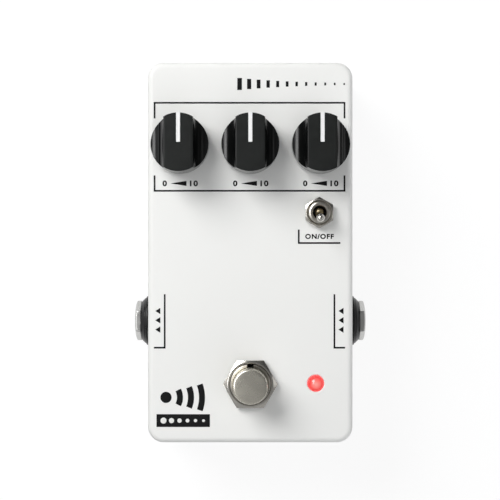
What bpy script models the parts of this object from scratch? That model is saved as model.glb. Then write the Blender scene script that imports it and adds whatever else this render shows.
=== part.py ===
"""A compact delay pedal in a die-cast box, as an assembly of separate pieces.

Metres, +Z up out of the face, +Y towards the knobs. The origin is on the surface that the
rubber feet stand on, below the middle of the box.
"""

from math import acos, cos, pi, radians, sin, sqrt

import bmesh
import bpy
from mathutils import Matrix, Vector

# Fits shared by all pieces
SEAT_GAP = 0.0003  # between a piece and the one it rests on
RUNNING_GAP = 0.00015  # between a turning shaft and its bore
INLAY_GAP = 0.0002  # around the pointer inlay in its groove
OVERRUN = 0.001  # how far a cutter passes the surface that it opens
MERGE = 0.000001  # points closer than this are one point

# Enclosure
BOX_WIDTH = 0.0605
BOX_LENGTH = 0.1118
WALL_LEAN = 0.0003  # how far each wall leans in from its foot to the face
CORNER_RADIUS = 0.0046
FACE_FILLET = 0.0017
WALL = 0.0022
SHELL_HEIGHT = 0.0270
BASE_HEIGHT = 0.0040
BASE_CHAMFER = 0.0008
FLOOR_THICKNESS = 0.0022
LIP_HEIGHT = 0.0012
LIP_WIDTH = 0.0015
BOSS_RADIUS = 0.0038
BOSS_INSET = 0.0054
SCREW_RADIUS = 0.00175
SCREW_HEAD_RADIUS = 0.0032
SCREW_HEAD_DEPTH = 0.0018
SCREW_LENGTH = 0.0100
SCREW_SLOT_WIDTH = 0.0007
SCREW_SLOT_LENGTH = 0.0036
SCREW_SLOT_DEPTH = 0.0009
FOOT_HEIGHT = 0.0020
FOOT_RADIUS = 0.0050
FOOT_ROUND = 0.0007
FOOT_SIDE_INSET = 0.01325
FOOT_END_INSET = 0.0119

# Knobs and their potentiometers
KNOB_RADIUS = 0.0084
KNOB_TOP_RADIUS = 0.0083
KNOB_EDGE = 0.0003
KNOB_CLEARANCE = 0.0006
KNOB_HEIGHT = 0.0129
KNOB_RIM_HEIGHT = 0.0048
KNOB_BAR_HALF_WIDTH = 0.0042
KNOB_RECESS_RADIUS = 0.0064
KNOB_RECESS_DEPTH = 0.0034
POINTER_WIDTH = 0.00113
POINTER_THICKNESS = 0.0005
POINTER_DROP = 0.0092
SHAFT_RADIUS = 0.0030
SHAFT_FLAT = 0.0015
SHAFT_TOP = 0.0110
SHAFT_DEPTH_IN_BODY = 0.0040
POT_BUSHING_RADIUS = 0.0036
POT_BUSHING_TOP = 0.0036
POT_BODY_WIDTH = 0.0098
POT_BODY_LENGTH = 0.0114
POT_BODY_HEIGHT = 0.0072
POT_STANDOFF = 0.0011
POT_WASHER_RADIUS = 0.0056
POT_WASHER_THICKNESS = 0.0005
POT_NUT_FLATS = 0.0100
POT_NUT_THICKNESS = 0.0020
POT_PIN_PITCH = 0.0025
POT_PIN_WIDTH = 0.0008
POT_PIN_REACH = 0.0014
POT_PIN_HEIGHT = 0.0015

# Toggle switch
TOGGLE_TILT = 13
TOGGLE_PIVOT_HEIGHT = 0.0020
TOGGLE_BUSHING_RADIUS = 0.00315
TOGGLE_BORE_RADIUS = 0.00195
TOGGLE_BUSHING_TOP = 0.0040
TOGGLE_BUSHING_EDGE = 0.0003
TOGGLE_PLATE_THICKNESS = 0.0008
TOGGLE_BODY_WIDTH = 0.0068
TOGGLE_BODY_LENGTH = 0.0127
TOGGLE_WASHER_RADIUS = 0.0048
TOGGLE_WASHER_THICKNESS = 0.0005
TOGGLE_NUT_FLATS = 0.0080
TOGGLE_NUT_THICKNESS = 0.0018
LEVER_LENGTH = 0.0087
LEVER_BALL_RADIUS = 0.0014
LEVER_NECK_RADIUS = 0.00075
LEVER_TIP_RADIUS = 0.00118
LEVER_TAIL_LENGTH = 0.0034
LEVER_TAIL_RADIUS = 0.0006

# Footswitch
FOOTSWITCH_TRAVEL = 0.0025
FOOTSWITCH_BUSHING_RADIUS = 0.0059
FOOTSWITCH_BUSHING_TOP = 0.0030
FOOTSWITCH_BUSHING_EDGE = 0.00025
FOOTSWITCH_KEY_WIDTH = 0.0019
FOOTSWITCH_KEY_DEPTH = 0.0024
FOOTSWITCH_NUT_FLATS = 0.0138
FOOTSWITCH_NUT_THICKNESS = 0.0020
FOOTSWITCH_INNER_NUT_THICKNESS = 0.0025
FOOTSWITCH_WASHER_RADIUS = 0.0090
FOOTSWITCH_WASHER_THICKNESS = 0.0006
FOOTSWITCH_THREAD_BELOW = 0.0060
FOOTSWITCH_PLATE_THICKNESS = 0.0010
FOOTSWITCH_BODY_SIDE = 0.0172
FOOTSWITCH_BODY_HEIGHT = 0.0120
FOOTSWITCH_LUG_PITCH = 0.0050
FOOTSWITCH_LUG_WIDTH = 0.0022
FOOTSWITCH_LUG_THICKNESS = 0.0008
FOOTSWITCH_LUG_LENGTH = 0.0030
BUTTON_RADIUS = 0.0050
BUTTON_EDGE = 0.0006
BUTTON_TOP = 0.0112
BUTTON_SINK = 0.0020
STEM_RADIUS = 0.0022
STEM_LENGTH = 0.0104
SPRING_WIRE_RADIUS = 0.00028
SPRING_RADIUS = 0.0038
SPRING_TURNS = 4

# LED
LED_RADIUS = 0.0025
LED_TOP = 0.0030
LED_FLANGE_RADIUS = 0.0029
LED_FLANGE_THICKNESS = 0.0010
LED_LEG_PITCH = 0.00254
LED_LEG_WIDTH = 0.0005
LED_SPACER_RADIUS = 0.0029
LED_SPACER_BORE_RADIUS = 0.0020

# Jacks, measured along their own axis outwards from the box's middle
JACK_BEHIND_FOOTSWITCH = 0.0178
JACK_DROP = 0.0140
JACK_BODY_WIDTH = 0.0160
JACK_BODY_HEIGHT = 0.0126
JACK_BUSHING_RADIUS = 0.0042
JACK_BORE_RADIUS = 0.00325
JACK_MIDDLE_CLEARANCE = 0.00215
JACK_REAR_WALL = 0.0012
JACK_WASHER_RADIUS = 0.0074
JACK_WASHER_FRONT_RADIUS = 0.0057
JACK_WASHER_RIM = 0.0005
JACK_WASHER_THICKNESS = 0.0024
JACK_NUT_FLATS = 0.0104
JACK_NUT_THICKNESS = 0.0016
JACK_NUT_DOME = 0.0009
JACK_NUT_FACE_RADIUS = 0.0038
JACK_NUT_LIP_RADIUS = 0.0035
JACK_NUT_LIP_THICKNESS = 0.0005
CONTACT_WIDTH = 0.0024
CONTACT_THICKNESS = 0.0004
CONTACT_LENGTH = 0.0110
CONTACT_START = 0.0070
CONTACT_TAB = 0.0015

# Power socket in the back wall
DC_BODY_WIDTH = 0.0090
DC_BODY_DEPTH = 0.0140
DC_BODY_HEIGHT = 0.0108
DC_NOSE_RADIUS = 0.0042
DC_NOSE_SINK = 0.0003
DC_BORE_RADIUS = 0.00315
DC_BORE_DEPTH = 0.0100
DC_PIN_RADIUS = 0.0010
DC_PIN_SINK = 0.0015

# Boards, components and ribbon cable
BOARD_THICKNESS = 0.0016
BOARD_SIDE_CLEARANCE = 0.0008
BOARD_BACK_CLEARANCE = 0.0017
BOARD_FRONT_CLEARANCE = 0.0010
FOOT_BOARD_MARGIN = 0.0015
CHIP_WIDTH = 0.0064
CHIP_PAIRS = {"delay_chip": 8, "audio_chip": 4}
CHIP_HEIGHT = 0.0032
CHIP_PITCH = 0.00254
CHIP_LEG_WIDTH = 0.0008
CHIP_LEG_REACH = 0.0007
CHIP_STANDOFF = 0.0005
CAPACITOR_RADIUS = 0.00315
CAPACITOR_HEIGHT = 0.0070
CAPACITOR_GROOVE = 0.0004
CAPACITOR_GROOVE_HEIGHT = 0.0010
RIBBON_WIDTH = 0.0076
RIBBON_THICKNESS = 0.0011
RIBBON_BOARD_INSET = 0.0020
RIBBON_BEHIND_FOOTSWITCH = 0.0105
RIBBON_BEND_RADIUS = 0.0013

# Counts and angles
CORNER_STEPS = 5
FILLET_STEPS = 3
SMALL_TURN_STEPS = 16
TURN_STEPS = 24
FINE_TURN_STEPS = 32
SCOOP_STEPS = 6
DOME_STEPS = 5
SPRING_TURN_POINTS = 9
RIBBON_STEPS = 4
SHARP_ANGLE = radians(35)
NUT_FACE_SHARE = 0.96  # round face of a nut as a share of its across flats

# Places as shares of the face's half width and half length, from its middle
KNOB_PITCH_SHARE = 0.6828
KNOB_Y_SHARE = 0.5647
TOGGLE_SHARES = (0.6711, 0.2095)
FOOTSWITCH_Y_SHARE = -0.6888
LED_SHARES = (0.6377, -0.6861)
CHIP_SHARES = {"delay_chip": (0.267, 0.234), "audio_chip": (0.334, 0.504)}
CAPACITOR_SHARES = {"filter_capacitor": (-0.634, 0.540), "output_capacitor": (-0.634, 0.324)}

# Heights worked out from the sizes above
BASE_BOTTOM = FOOT_HEIGHT + SEAT_GAP
BASE_TOP = BASE_BOTTOM + BASE_HEIGHT
FLOOR_Z = BASE_BOTTOM + FLOOR_THICKNESS
SHELL_BOTTOM = BASE_TOP + SEAT_GAP
FACE_Z = SHELL_BOTTOM + SHELL_HEIGHT
CEILING_Z = FACE_Z - WALL
POT_BODY_TOP = CEILING_Z - SEAT_GAP
BOARD_TOP = POT_BODY_TOP - POT_BODY_HEIGHT - POT_STANDOFF
BOARD_BOTTOM = BOARD_TOP - BOARD_THICKNESS
JACK_Z = FACE_Z - JACK_DROP
FOOTSWITCH_PLATE_TOP = CEILING_Z - FOOTSWITCH_THREAD_BELOW
FOOTSWITCH_BODY_TOP = FOOTSWITCH_PLATE_TOP - FOOTSWITCH_PLATE_THICKNESS - SEAT_GAP
FOOTSWITCH_BODY_BOTTOM = FOOTSWITCH_BODY_TOP - FOOTSWITCH_BODY_HEIGHT
FOOT_BOARD_TOP = FOOTSWITCH_BODY_BOTTOM - FOOTSWITCH_LUG_LENGTH - SEAT_GAP
CORNER_SIGNS = ((1, 1), (-1, 1), (-1, -1), (1, -1))

# Places worked out from the shares above
HALF_WIDTH = BOX_WIDTH / 2 - WALL_LEAN
HALF_LENGTH = BOX_LENGTH / 2 - WALL_LEAN
KNOB_PITCH = HALF_WIDTH * KNOB_PITCH_SHARE
KNOB_Y = HALF_LENGTH * KNOB_Y_SHARE
TOGGLE_X = HALF_WIDTH * TOGGLE_SHARES[0]
TOGGLE_Y = HALF_LENGTH * TOGGLE_SHARES[1]
FOOTSWITCH_Y = HALF_LENGTH * FOOTSWITCH_Y_SHARE
LED_X = HALF_WIDTH * LED_SHARES[0]
LED_Y = HALF_LENGTH * LED_SHARES[1]
JACK_Y = FOOTSWITCH_Y + JACK_BEHIND_FOOTSWITCH
BOARD_FRONT_Y = JACK_Y + JACK_BODY_WIDTH / 2 + BOARD_FRONT_CLEARANCE
RIBBON_START_Y = BOARD_FRONT_Y + RIBBON_BOARD_INSET
RIBBON_END_Y = FOOTSWITCH_Y + RIBBON_BEHIND_FOOTSWITCH

# Colour, roughness and metallic value of each finish
FINISHES = {
    "white_paint": ((0.87, 0.87, 0.85), 0.35, 0.0),
    "black_plastic": ((0.016, 0.017, 0.018), 0.35, 0.0),
    "black_satin": ((0.03, 0.03, 0.028), 0.5, 0.0),
    "white_plastic": ((0.88, 0.88, 0.87), 0.4, 0.0),
    "nickel": ((0.62, 0.60, 0.56), 0.25, 1.0),
    "steel": ((0.50, 0.49, 0.47), 0.35, 1.0),
    "brass": ((0.62, 0.50, 0.26), 0.3, 1.0),
    "rubber": ((0.02, 0.02, 0.02), 0.8, 0.0),
    "red_lens": ((0.95, 0.06, 0.05), 0.15, 0.0),
    "blue_plastic": ((0.03, 0.10, 0.35), 0.4, 0.0),
    "circuit_board": ((0.02, 0.16, 0.07), 0.45, 0.0),
    "ribbon_grey": ((0.30, 0.31, 0.32), 0.5, 0.0),
}


# Scene and objects


def clear_scene():
    for old in list(bpy.data.objects):
        bpy.data.objects.remove(old, do_unlink=True)


def make_material(name, finish):
    colour, roughness, metallic = FINISHES[finish]
    material = bpy.data.materials.new(name + "_" + finish)
    material.use_nodes = True
    shader = material.node_tree.nodes["Principled BSDF"]
    shader.inputs["Base Color"].default_value = (*colour, 1)
    shader.inputs["Roughness"].default_value = roughness
    shader.inputs["Metallic"].default_value = metallic
    return material


def place(item, parent, at, turn):
    item.parent = parent
    item.location = at
    item.rotation_euler = turn
    bpy.context.scene.collection.objects.link(item)
    return item


def make_object(name, shape, parent=None, at=(0, 0, 0), turn=(0, 0, 0)):
    """Object from a bmesh, with its faces pointing out and its round faces smooth."""
    bmesh.ops.recalc_face_normals(shape, faces=shape.faces)
    mesh = bpy.data.meshes.new(name)
    shape.to_mesh(mesh)
    shape.free()
    mesh.shade_smooth()
    mesh.set_sharp_from_angle(angle=SHARP_ANGLE)
    return place(bpy.data.objects.new(name, mesh), parent, at, turn)


def make_piece(name, shape, finish, parent=None, at=(0, 0, 0), turn=(0, 0, 0)):
    piece = make_object(name, shape, parent, at, turn)
    piece.data.materials.append(make_material(name, finish))
    return piece


def make_axis(name, at, turn=(0, 0, 0)):
    """Empty on a joint's or a socket's axis, which the pieces there hang from."""
    return place(bpy.data.objects.new(name, None), None, at, turn)


def combine(piece, operation, name, shape, parent=None, at=(0, 0, 0), turn=(0, 0, 0)):
    """Boolean of a piece with a second shape, which stays out of the render."""
    tool = make_object(piece.name + "_" + name, shape, parent, at, turn)
    tool.hide_render = True
    tool.display_type = "WIRE"
    modifier = piece.modifiers.new(name, "BOOLEAN")
    modifier.operation = operation
    modifier.solver = "EXACT"
    modifier.object = tool


# Shapes


def add_block(shape, low, high):
    low, high = Vector(low), Vector(high)
    size = Matrix.Diagonal((*(high - low), 1))
    bmesh.ops.create_cube(shape, size=1, matrix=Matrix.Translation((low + high) / 2) @ size)
    return shape


def add_rod(shape, start, end, radius, steps=TURN_STEPS):
    start, end = Vector(start), Vector(end)
    run = end - start
    aim = run.to_track_quat("Z", "Y").to_matrix().to_4x4()
    bmesh.ops.create_cone(
        shape,
        cap_ends=True,
        segments=steps,
        radius1=radius,
        radius2=radius,
        depth=run.length,
        matrix=Matrix.Translation((start + end) / 2) @ aim,
    )
    return shape


def add_turned(shape, profile, steps=TURN_STEPS, ring=False):
    """Turn (radius, height) points about Z; a ring's profile is closed, others end on the axis."""
    points = [shape.verts.new((radius, 0, height)) for radius, height in profile]
    lines = [shape.edges.new(pair) for pair in zip(points, points[1:])]
    if ring:
        lines.append(shape.edges.new((points[-1], points[0])))
    bmesh.ops.spin(
        shape,
        geom=points + lines,
        cent=(0, 0, 0),
        axis=(0, 0, 1),
        angle=2 * pi,
        steps=steps,
        use_merge=True,
    )
    bmesh.ops.remove_doubles(shape, verts=shape.verts, dist=MERGE)
    return shape


def add_loft(shape, loops):
    """Closed body through loops of equal length, capped at the first and the last."""
    rings = [[shape.verts.new(point) for point in loop] for loop in loops]
    shape.faces.new(rings[0])
    shape.faces.new(rings[-1])
    for low, high in zip(rings, rings[1:]):
        for index in range(len(low)):
            after = (index + 1) % len(low)
            shape.faces.new((low[index], low[after], high[after], high[index]))
    return shape


def add_prism_x(shape, outline, low_x, high_x):
    """Extrude an outline of (y, z) points along X."""
    return add_loft(shape, [[(x, y, z) for y, z in outline] for x in (low_x, high_x)])


def add_prism_y(shape, outline, low_y, high_y):
    """Extrude an outline of (x, z) points along Y."""
    return add_loft(shape, [[(x, y, z) for x, z in outline] for y in (low_y, high_y)])


def rounded_rectangle(half_x, half_y, radius, z):
    points = []
    for quarter, (sign_x, sign_y) in enumerate(CORNER_SIGNS):
        for step in range(CORNER_STEPS + 1):
            angle = (quarter + step / CORNER_STEPS) * pi / 2
            x = sign_x * (half_x - radius) + radius * cos(angle)
            y = sign_y * (half_y - radius) + radius * sin(angle)
            points.append((x, y, z))
    return points


def hexagon(across_flats, z, first_corner=0):
    radius = across_flats / sqrt(3)
    angles = [first_corner + pi / 3 * corner for corner in range(6)]
    return [(radius * cos(angle), radius * sin(angle), z) for angle in angles]


def leg_outline(inner, knee, thickness, level, foot):
    """Side view (y, z) of a leg that leaves a block level and bends at its knee to its foot."""
    out = thickness if knee > inner else -thickness
    towards_foot = thickness / 2 if foot > level else -thickness / 2
    return [
        (inner, level - towards_foot),
        (knee, level - towards_foot),
        (knee, foot),
        (knee - out, foot),
        (knee - out, level + towards_foot),
        (inner, level + towards_foot),
    ]


def new_shape():
    return bmesh.new()


def make_nut(name, flats, crown, hole, finish, parent=None, at=(0, 0, 0), turn=(0, 0, 0), corner=0):
    """Hexagon nut from height 0 up. Its top and its hole are turned, and are lists of
    (radius, height) points: the crown from the flats in, and the hole from the top down."""
    thickness = crown[-1][1]
    corner_radius = flats / sqrt(3)
    blank = add_loft(
        new_shape(), [hexagon(flats, 0, corner), hexagon(flats, thickness + OVERRUN, corner)]
    )
    nut = make_piece(name, blank, finish, parent, at, turn)
    profile = [(corner_radius + OVERRUN, -OVERRUN), *crown, *hole]
    envelope = add_turned(new_shape(), profile, FINE_TURN_STEPS, ring=True)
    combine(nut, "INTERSECT", "envelope", envelope, parent, at, turn)
    return nut


def chamfered_crown(flats, thickness):
    """Top of an ordinary nut: a cone that leaves a round face a little inside the flats."""
    corner_radius = flats / sqrt(3)
    face_radius = flats / 2 * NUT_FACE_SHARE
    drop = (corner_radius - face_radius) / 2
    return [
        (corner_radius + OVERRUN, thickness - drop - OVERRUN / 2),
        (face_radius, thickness),
    ]


def plain_hole(radius, thickness):
    return [(radius, thickness), (radius, -OVERRUN)]


def make_ring(name, outer, inner, thickness, finish, at):
    profile = [(inner, 0), (outer, 0), (outer, thickness), (inner, thickness)]
    return make_piece(name, add_turned(new_shape(), profile, ring=True), finish, at=at)


# Enclosure


def outer_half(size, z):
    """Half of the shell's outside size at a height; the walls lean in towards the face."""
    rise_share = (z - SHELL_BOTTOM) / SHELL_HEIGHT
    return size / 2 - WALL_LEAN * rise_share


def inner_half(size, low_z, high_z):
    """Half of the room between two walls over a range of heights, less a seat gap."""
    outer = min(outer_half(size, z) for z in (low_z, high_z))
    return outer - WALL - SEAT_GAP


def shell_loop(inset, z):
    half_x = outer_half(BOX_WIDTH, z) - inset
    half_y = outer_half(BOX_LENGTH, z) - inset
    return rounded_rectangle(half_x, half_y, CORNER_RADIUS - inset, z)


def boss_places():
    x, y = HALF_WIDTH - BOSS_INSET, HALF_LENGTH - BOSS_INSET
    return [(sign_x * x, sign_y * y) for sign_x, sign_y in CORNER_SIGNS]


def corner_rods(radius, low_z, high_z):
    shape = new_shape()
    for x, y in boss_places():
        add_rod(shape, (x, y, low_z), (x, y, high_z), radius, SMALL_TURN_STEPS)
    return shape


def knob_places():
    return {"left": -KNOB_PITCH, "middle": 0, "right": KNOB_PITCH}


def face_holes():
    """Rods that open every hole in the face, the side walls and the back wall."""
    shape = new_shape()
    low, high = CEILING_Z - OVERRUN, FACE_Z + OVERRUN
    pot_hole = POT_BUSHING_RADIUS + SEAT_GAP
    for x in knob_places().values():
        add_rod(shape, (x, KNOB_Y, low), (x, KNOB_Y, high), pot_hole)
    toggle_hole = TOGGLE_BUSHING_RADIUS + SEAT_GAP
    add_rod(shape, (TOGGLE_X, TOGGLE_Y, low), (TOGGLE_X, TOGGLE_Y, high), toggle_hole)
    add_rod(shape, (LED_X, LED_Y, low), (LED_X, LED_Y, high), LED_RADIUS + SEAT_GAP)
    footswitch_hole = FOOTSWITCH_BUSHING_RADIUS + SEAT_GAP
    add_rod(shape, (0, FOOTSWITCH_Y, low), (0, FOOTSWITCH_Y, high), footswitch_hole)
    side = BOX_WIDTH / 2 + OVERRUN
    jack_hole = JACK_BUSHING_RADIUS + SEAT_GAP
    add_rod(shape, (-side, JACK_Y, JACK_Z), (side, JACK_Y, JACK_Z), jack_hole)
    back = BOX_LENGTH / 2 + OVERRUN
    inside = HALF_LENGTH - WALL - OVERRUN
    add_rod(shape, (0, inside, dc_axis_z()), (0, back, dc_axis_z()), DC_NOSE_RADIUS + SEAT_GAP)
    return shape


def make_shell():
    loops = [shell_loop(WALL, CEILING_Z), shell_loop(WALL, SHELL_BOTTOM)]
    loops.append(shell_loop(0, SHELL_BOTTOM))
    for step in range(FILLET_STEPS + 1):
        angle = pi / 2 * step / FILLET_STEPS
        inset = FACE_FILLET * (1 - cos(angle))
        loops.append(shell_loop(inset, FACE_Z - FACE_FILLET * (1 - sin(angle))))
    shell = make_piece("enclosure_shell", add_loft(new_shape(), loops), "white_paint")
    bosses = corner_rods(BOSS_RADIUS, SHELL_BOTTOM + SEAT_GAP, CEILING_Z + WALL / 2)
    combine(shell, "UNION", "bosses", bosses)
    hole_top = BASE_BOTTOM + SCREW_LENGTH + OVERRUN
    screw_holes = corner_rods(SCREW_RADIUS + SEAT_GAP, SHELL_BOTTOM - OVERRUN, hole_top)
    combine(shell, "DIFFERENCE", "screw_holes", screw_holes)
    combine(shell, "DIFFERENCE", "openings", face_holes())


def screw_profile(gap, low, high):
    """Countersunk screw about Z; the gap grows it into the seat that it sits in."""
    neck = BASE_BOTTOM + SCREW_HEAD_DEPTH
    return [
        (0, low),
        (SCREW_HEAD_RADIUS + gap, low),
        (SCREW_HEAD_RADIUS + gap, BASE_BOTTOM + SEAT_GAP),
        (SCREW_RADIUS + gap, neck + gap),
        (SCREW_RADIUS + gap, high),
        (0, high),
    ]


def make_base_plate():
    lip_outset = WALL + SEAT_GAP
    pocket_inset = lip_outset + LIP_WIDTH
    lip_top = BASE_TOP + LIP_HEIGHT
    half_x, half_y = BOX_WIDTH / 2, BOX_LENGTH / 2
    levels = (
        (pocket_inset, FLOOR_Z),
        (pocket_inset, lip_top),
        (lip_outset, lip_top),
        (lip_outset, BASE_TOP),
        (0, BASE_TOP),
        (0, BASE_BOTTOM + BASE_CHAMFER),
        (BASE_CHAMFER, BASE_BOTTOM),
    )
    loops = [
        rounded_rectangle(half_x - inset, half_y - inset, CORNER_RADIUS - inset, z)
        for inset, z in levels
    ]
    plate = make_piece("base_plate", add_loft(new_shape(), loops), "white_paint")
    pads = corner_rods(BOSS_RADIUS, BASE_BOTTOM + FLOOR_THICKNESS / 2, BASE_TOP)
    combine(plate, "UNION", "screw_pads", pads)
    relief = corner_rods(BOSS_RADIUS + SEAT_GAP, BASE_TOP - SEAT_GAP, lip_top + OVERRUN)
    combine(plate, "DIFFERENCE", "boss_relief", relief)
    seats = new_shape()
    for x, y in boss_places():
        seat = screw_profile(SEAT_GAP, BASE_BOTTOM - OVERRUN, BASE_TOP + OVERRUN)
        before = set(seats.verts)
        add_turned(seats, seat, SMALL_TURN_STEPS)
        moved = [vert for vert in seats.verts if vert not in before]
        bmesh.ops.translate(seats, verts=moved, vec=(x, y, 0))
    combine(plate, "DIFFERENCE", "screw_seats", seats)


def make_screws():
    for number, (x, y) in enumerate(boss_places(), start=1):
        profile = screw_profile(0, BASE_BOTTOM, BASE_BOTTOM + SCREW_LENGTH)
        body = add_turned(new_shape(), profile, SMALL_TURN_STEPS)
        screw = make_piece(f"base_screw_{number}", body, "steel", at=(x, y, 0))
        half_length, half_width = SCREW_SLOT_LENGTH / 2, SCREW_SLOT_WIDTH / 2
        low, high = BASE_BOTTOM - OVERRUN, BASE_BOTTOM + SCREW_SLOT_DEPTH
        for arm, (reach_x, reach_y) in {
            "slot_x": (half_length, half_width),
            "slot_y": (half_width, half_length),
        }.items():
            slot = add_block(new_shape(), (-reach_x, -reach_y, low), (reach_x, reach_y, high))
            combine(screw, "DIFFERENCE", arm, slot, at=(x, y, 0))


def make_feet():
    tread = FOOT_RADIUS - FOOT_ROUND
    profile = [
        (0, 0),
        (tread, 0),
        (FOOT_RADIUS - FOOT_ROUND / 4, FOOT_ROUND / 2),
        (FOOT_RADIUS, FOOT_ROUND),
        (FOOT_RADIUS, FOOT_HEIGHT),
        (0, FOOT_HEIGHT),
    ]
    for number, (sign_x, sign_y) in enumerate(CORNER_SIGNS, start=1):
        foot = add_turned(new_shape(), profile)
        x = sign_x * (BOX_WIDTH / 2 - FOOT_SIDE_INSET)
        y = sign_y * (BOX_LENGTH / 2 - FOOT_END_INSET)
        make_piece(f"rubber_foot_{number}", foot, "rubber", at=(x, y, 0))


# Knobs and potentiometers, each in a frame on its shaft's axis at the face


def make_pot(side, axis):
    top = POT_BODY_TOP - FACE_Z
    bottom = top - POT_BODY_HEIGHT
    half_x, half_y = POT_BODY_WIDTH / 2, POT_BODY_LENGTH / 2
    block = add_block(new_shape(), (-half_x, -half_y, bottom), (half_x, half_y, top))
    housing = make_piece(f"pot_housing_{side}", block, "steel", axis)
    neck = add_rod(
        new_shape(), (0, 0, (bottom + top) / 2), (0, 0, POT_BUSHING_TOP), POT_BUSHING_RADIUS
    )
    combine(housing, "UNION", "bushing", neck, axis)
    shaft_end = top - SHAFT_DEPTH_IN_BODY - SEAT_GAP
    bore = add_rod(
        new_shape(), (0, 0, shaft_end), (0, 0, POT_BUSHING_TOP + OVERRUN), SHAFT_RADIUS + RUNNING_GAP
    )
    combine(housing, "DIFFERENCE", "shaft_bore", bore, axis)
    pins = new_shape()
    knee = -half_y - POT_PIN_REACH
    half_pin = POT_PIN_WIDTH / 2
    foot = BOARD_TOP + SEAT_GAP - FACE_Z
    outline = leg_outline(-half_y / 2, knee, POT_PIN_WIDTH, bottom + POT_PIN_HEIGHT, foot)
    for pin in (-1, 0, 1):
        x = pin * POT_PIN_PITCH
        add_prism_x(pins, outline, x - half_pin, x + half_pin)
    combine(housing, "UNION", "pins", pins, axis)


def make_shaft(side, axis):
    low = POT_BODY_TOP - FACE_Z - SHAFT_DEPTH_IN_BODY
    shaft = make_piece(
        f"pot_shaft_{side}",
        add_rod(new_shape(), (0, 0, low), (0, 0, SHAFT_TOP), SHAFT_RADIUS),
        "steel",
        axis,
    )
    flat = add_block(
        new_shape(),
        (-SHAFT_RADIUS - OVERRUN, -SHAFT_RADIUS - OVERRUN, POT_BUSHING_TOP + SEAT_GAP),
        (SHAFT_RADIUS + OVERRUN, -SHAFT_FLAT, SHAFT_TOP + OVERRUN),
    )
    combine(shaft, "DIFFERENCE", "flat", flat, axis)


def knob_shaft_socket(roof):
    """D-shaped hole that fits over the flattened shaft, from below up to its roof."""
    radius = SHAFT_RADIUS + SEAT_GAP
    flat = SHAFT_FLAT + SEAT_GAP
    half_cut = acos(flat / radius)
    sweep = 2 * (pi - half_cut)
    outline = []
    for step in range(TURN_STEPS + 1):
        angle = half_cut - pi / 2 + sweep * step / TURN_STEPS
        outline.append((radius * cos(angle), radius * sin(angle)))
    bottom = KNOB_CLEARANCE + KNOB_RECESS_DEPTH - OVERRUN
    return add_loft(new_shape(), [[(x, y, z) for x, y in outline] for z in (bottom, roof)])


def scoop_outline(sign):
    """Section of the hollow beside the bar: down its wall, then a quarter round to the rim."""
    top = KNOB_CLEARANCE + KNOB_HEIGHT + OVERRUN
    rim = KNOB_CLEARANCE + KNOB_RIM_HEIGHT
    radius = KNOB_RADIUS - KNOB_BAR_HALF_WIDTH
    points = [(KNOB_BAR_HALF_WIDTH, top)]
    for step in range(SCOOP_STEPS + 1):
        angle = pi / 2 * step / SCOOP_STEPS
        points.append((KNOB_RADIUS - radius * cos(angle), rim + radius * (1 - sin(angle))))
    outside = KNOB_RADIUS + OVERRUN
    points += [(outside, rim), (outside, top)]
    return [(sign * x, z) for x, z in points]


def pointer_outline(gap):
    """Side view of the pointer as (y, z): a strip on the bar and down the knob's far wall."""
    top = KNOB_CLEARANCE + KNOB_HEIGHT
    depth = POINTER_THICKNESS + gap
    reach = KNOB_TOP_RADIUS - KNOB_EDGE / 4
    outer = reach + (OVERRUN if gap else 0)
    roof = top + (OVERRUN if gap else 0)
    foot = top - POINTER_DROP - gap
    return [
        (-gap, roof),
        (-gap, top - depth),
        (reach - depth, top - depth),
        (reach - depth, foot),
        (outer, foot),
        (outer, roof),
    ]


def make_knob(side, axis):
    bottom = KNOB_CLEARANCE
    top = bottom + KNOB_HEIGHT
    roof = bottom + KNOB_RECESS_DEPTH
    profile = [
        (0, roof),
        (KNOB_RECESS_RADIUS, roof),
        (KNOB_RECESS_RADIUS, bottom),
        (KNOB_RADIUS, bottom),
        (KNOB_TOP_RADIUS, top - KNOB_EDGE),
        (KNOB_TOP_RADIUS - KNOB_EDGE, top),
        (0, top),
    ]
    body = add_turned(new_shape(), profile, FINE_TURN_STEPS)
    knob = make_piece(f"knob_{side}", body, "black_plastic", axis)
    scoops = new_shape()
    for sign in (-1, 1):
        reach = KNOB_RADIUS + OVERRUN
        add_prism_y(scoops, scoop_outline(sign), -reach, reach)
    combine(knob, "DIFFERENCE", "scoops", scoops, axis)
    socket = knob_shaft_socket(SHAFT_TOP + SEAT_GAP)
    combine(knob, "DIFFERENCE", "shaft_socket", socket, axis)
    half = POINTER_WIDTH / 2
    groove = add_prism_x(new_shape(), pointer_outline(INLAY_GAP), -half - INLAY_GAP, half + INLAY_GAP)
    combine(knob, "DIFFERENCE", "pointer_groove", groove, axis)
    strip = add_prism_x(new_shape(), pointer_outline(0), -half, half)
    make_piece(f"knob_pointer_{side}", strip, "white_plastic", axis)


def make_pots_and_knobs():
    for side, x in knob_places().items():
        axis = make_axis(f"knob_axis_{side}", (x, KNOB_Y, FACE_Z))
        make_pot(side, axis)
        washer_z = FACE_Z + SEAT_GAP
        hole = POT_BUSHING_RADIUS + SEAT_GAP
        make_ring(
            f"pot_washer_{side}",
            POT_WASHER_RADIUS,
            hole,
            POT_WASHER_THICKNESS,
            "nickel",
            (x, KNOB_Y, washer_z),
        )
        nut_z = washer_z + POT_WASHER_THICKNESS + SEAT_GAP
        crown = chamfered_crown(POT_NUT_FLATS, POT_NUT_THICKNESS)
        thread = plain_hole(hole, POT_NUT_THICKNESS)
        make_nut(
            f"pot_nut_{side}", POT_NUT_FLATS, crown, thread, "nickel", at=(x, KNOB_Y, nut_z)
        )
        make_shaft(side, axis)
        make_knob(side, axis)


# Toggle switch


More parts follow.
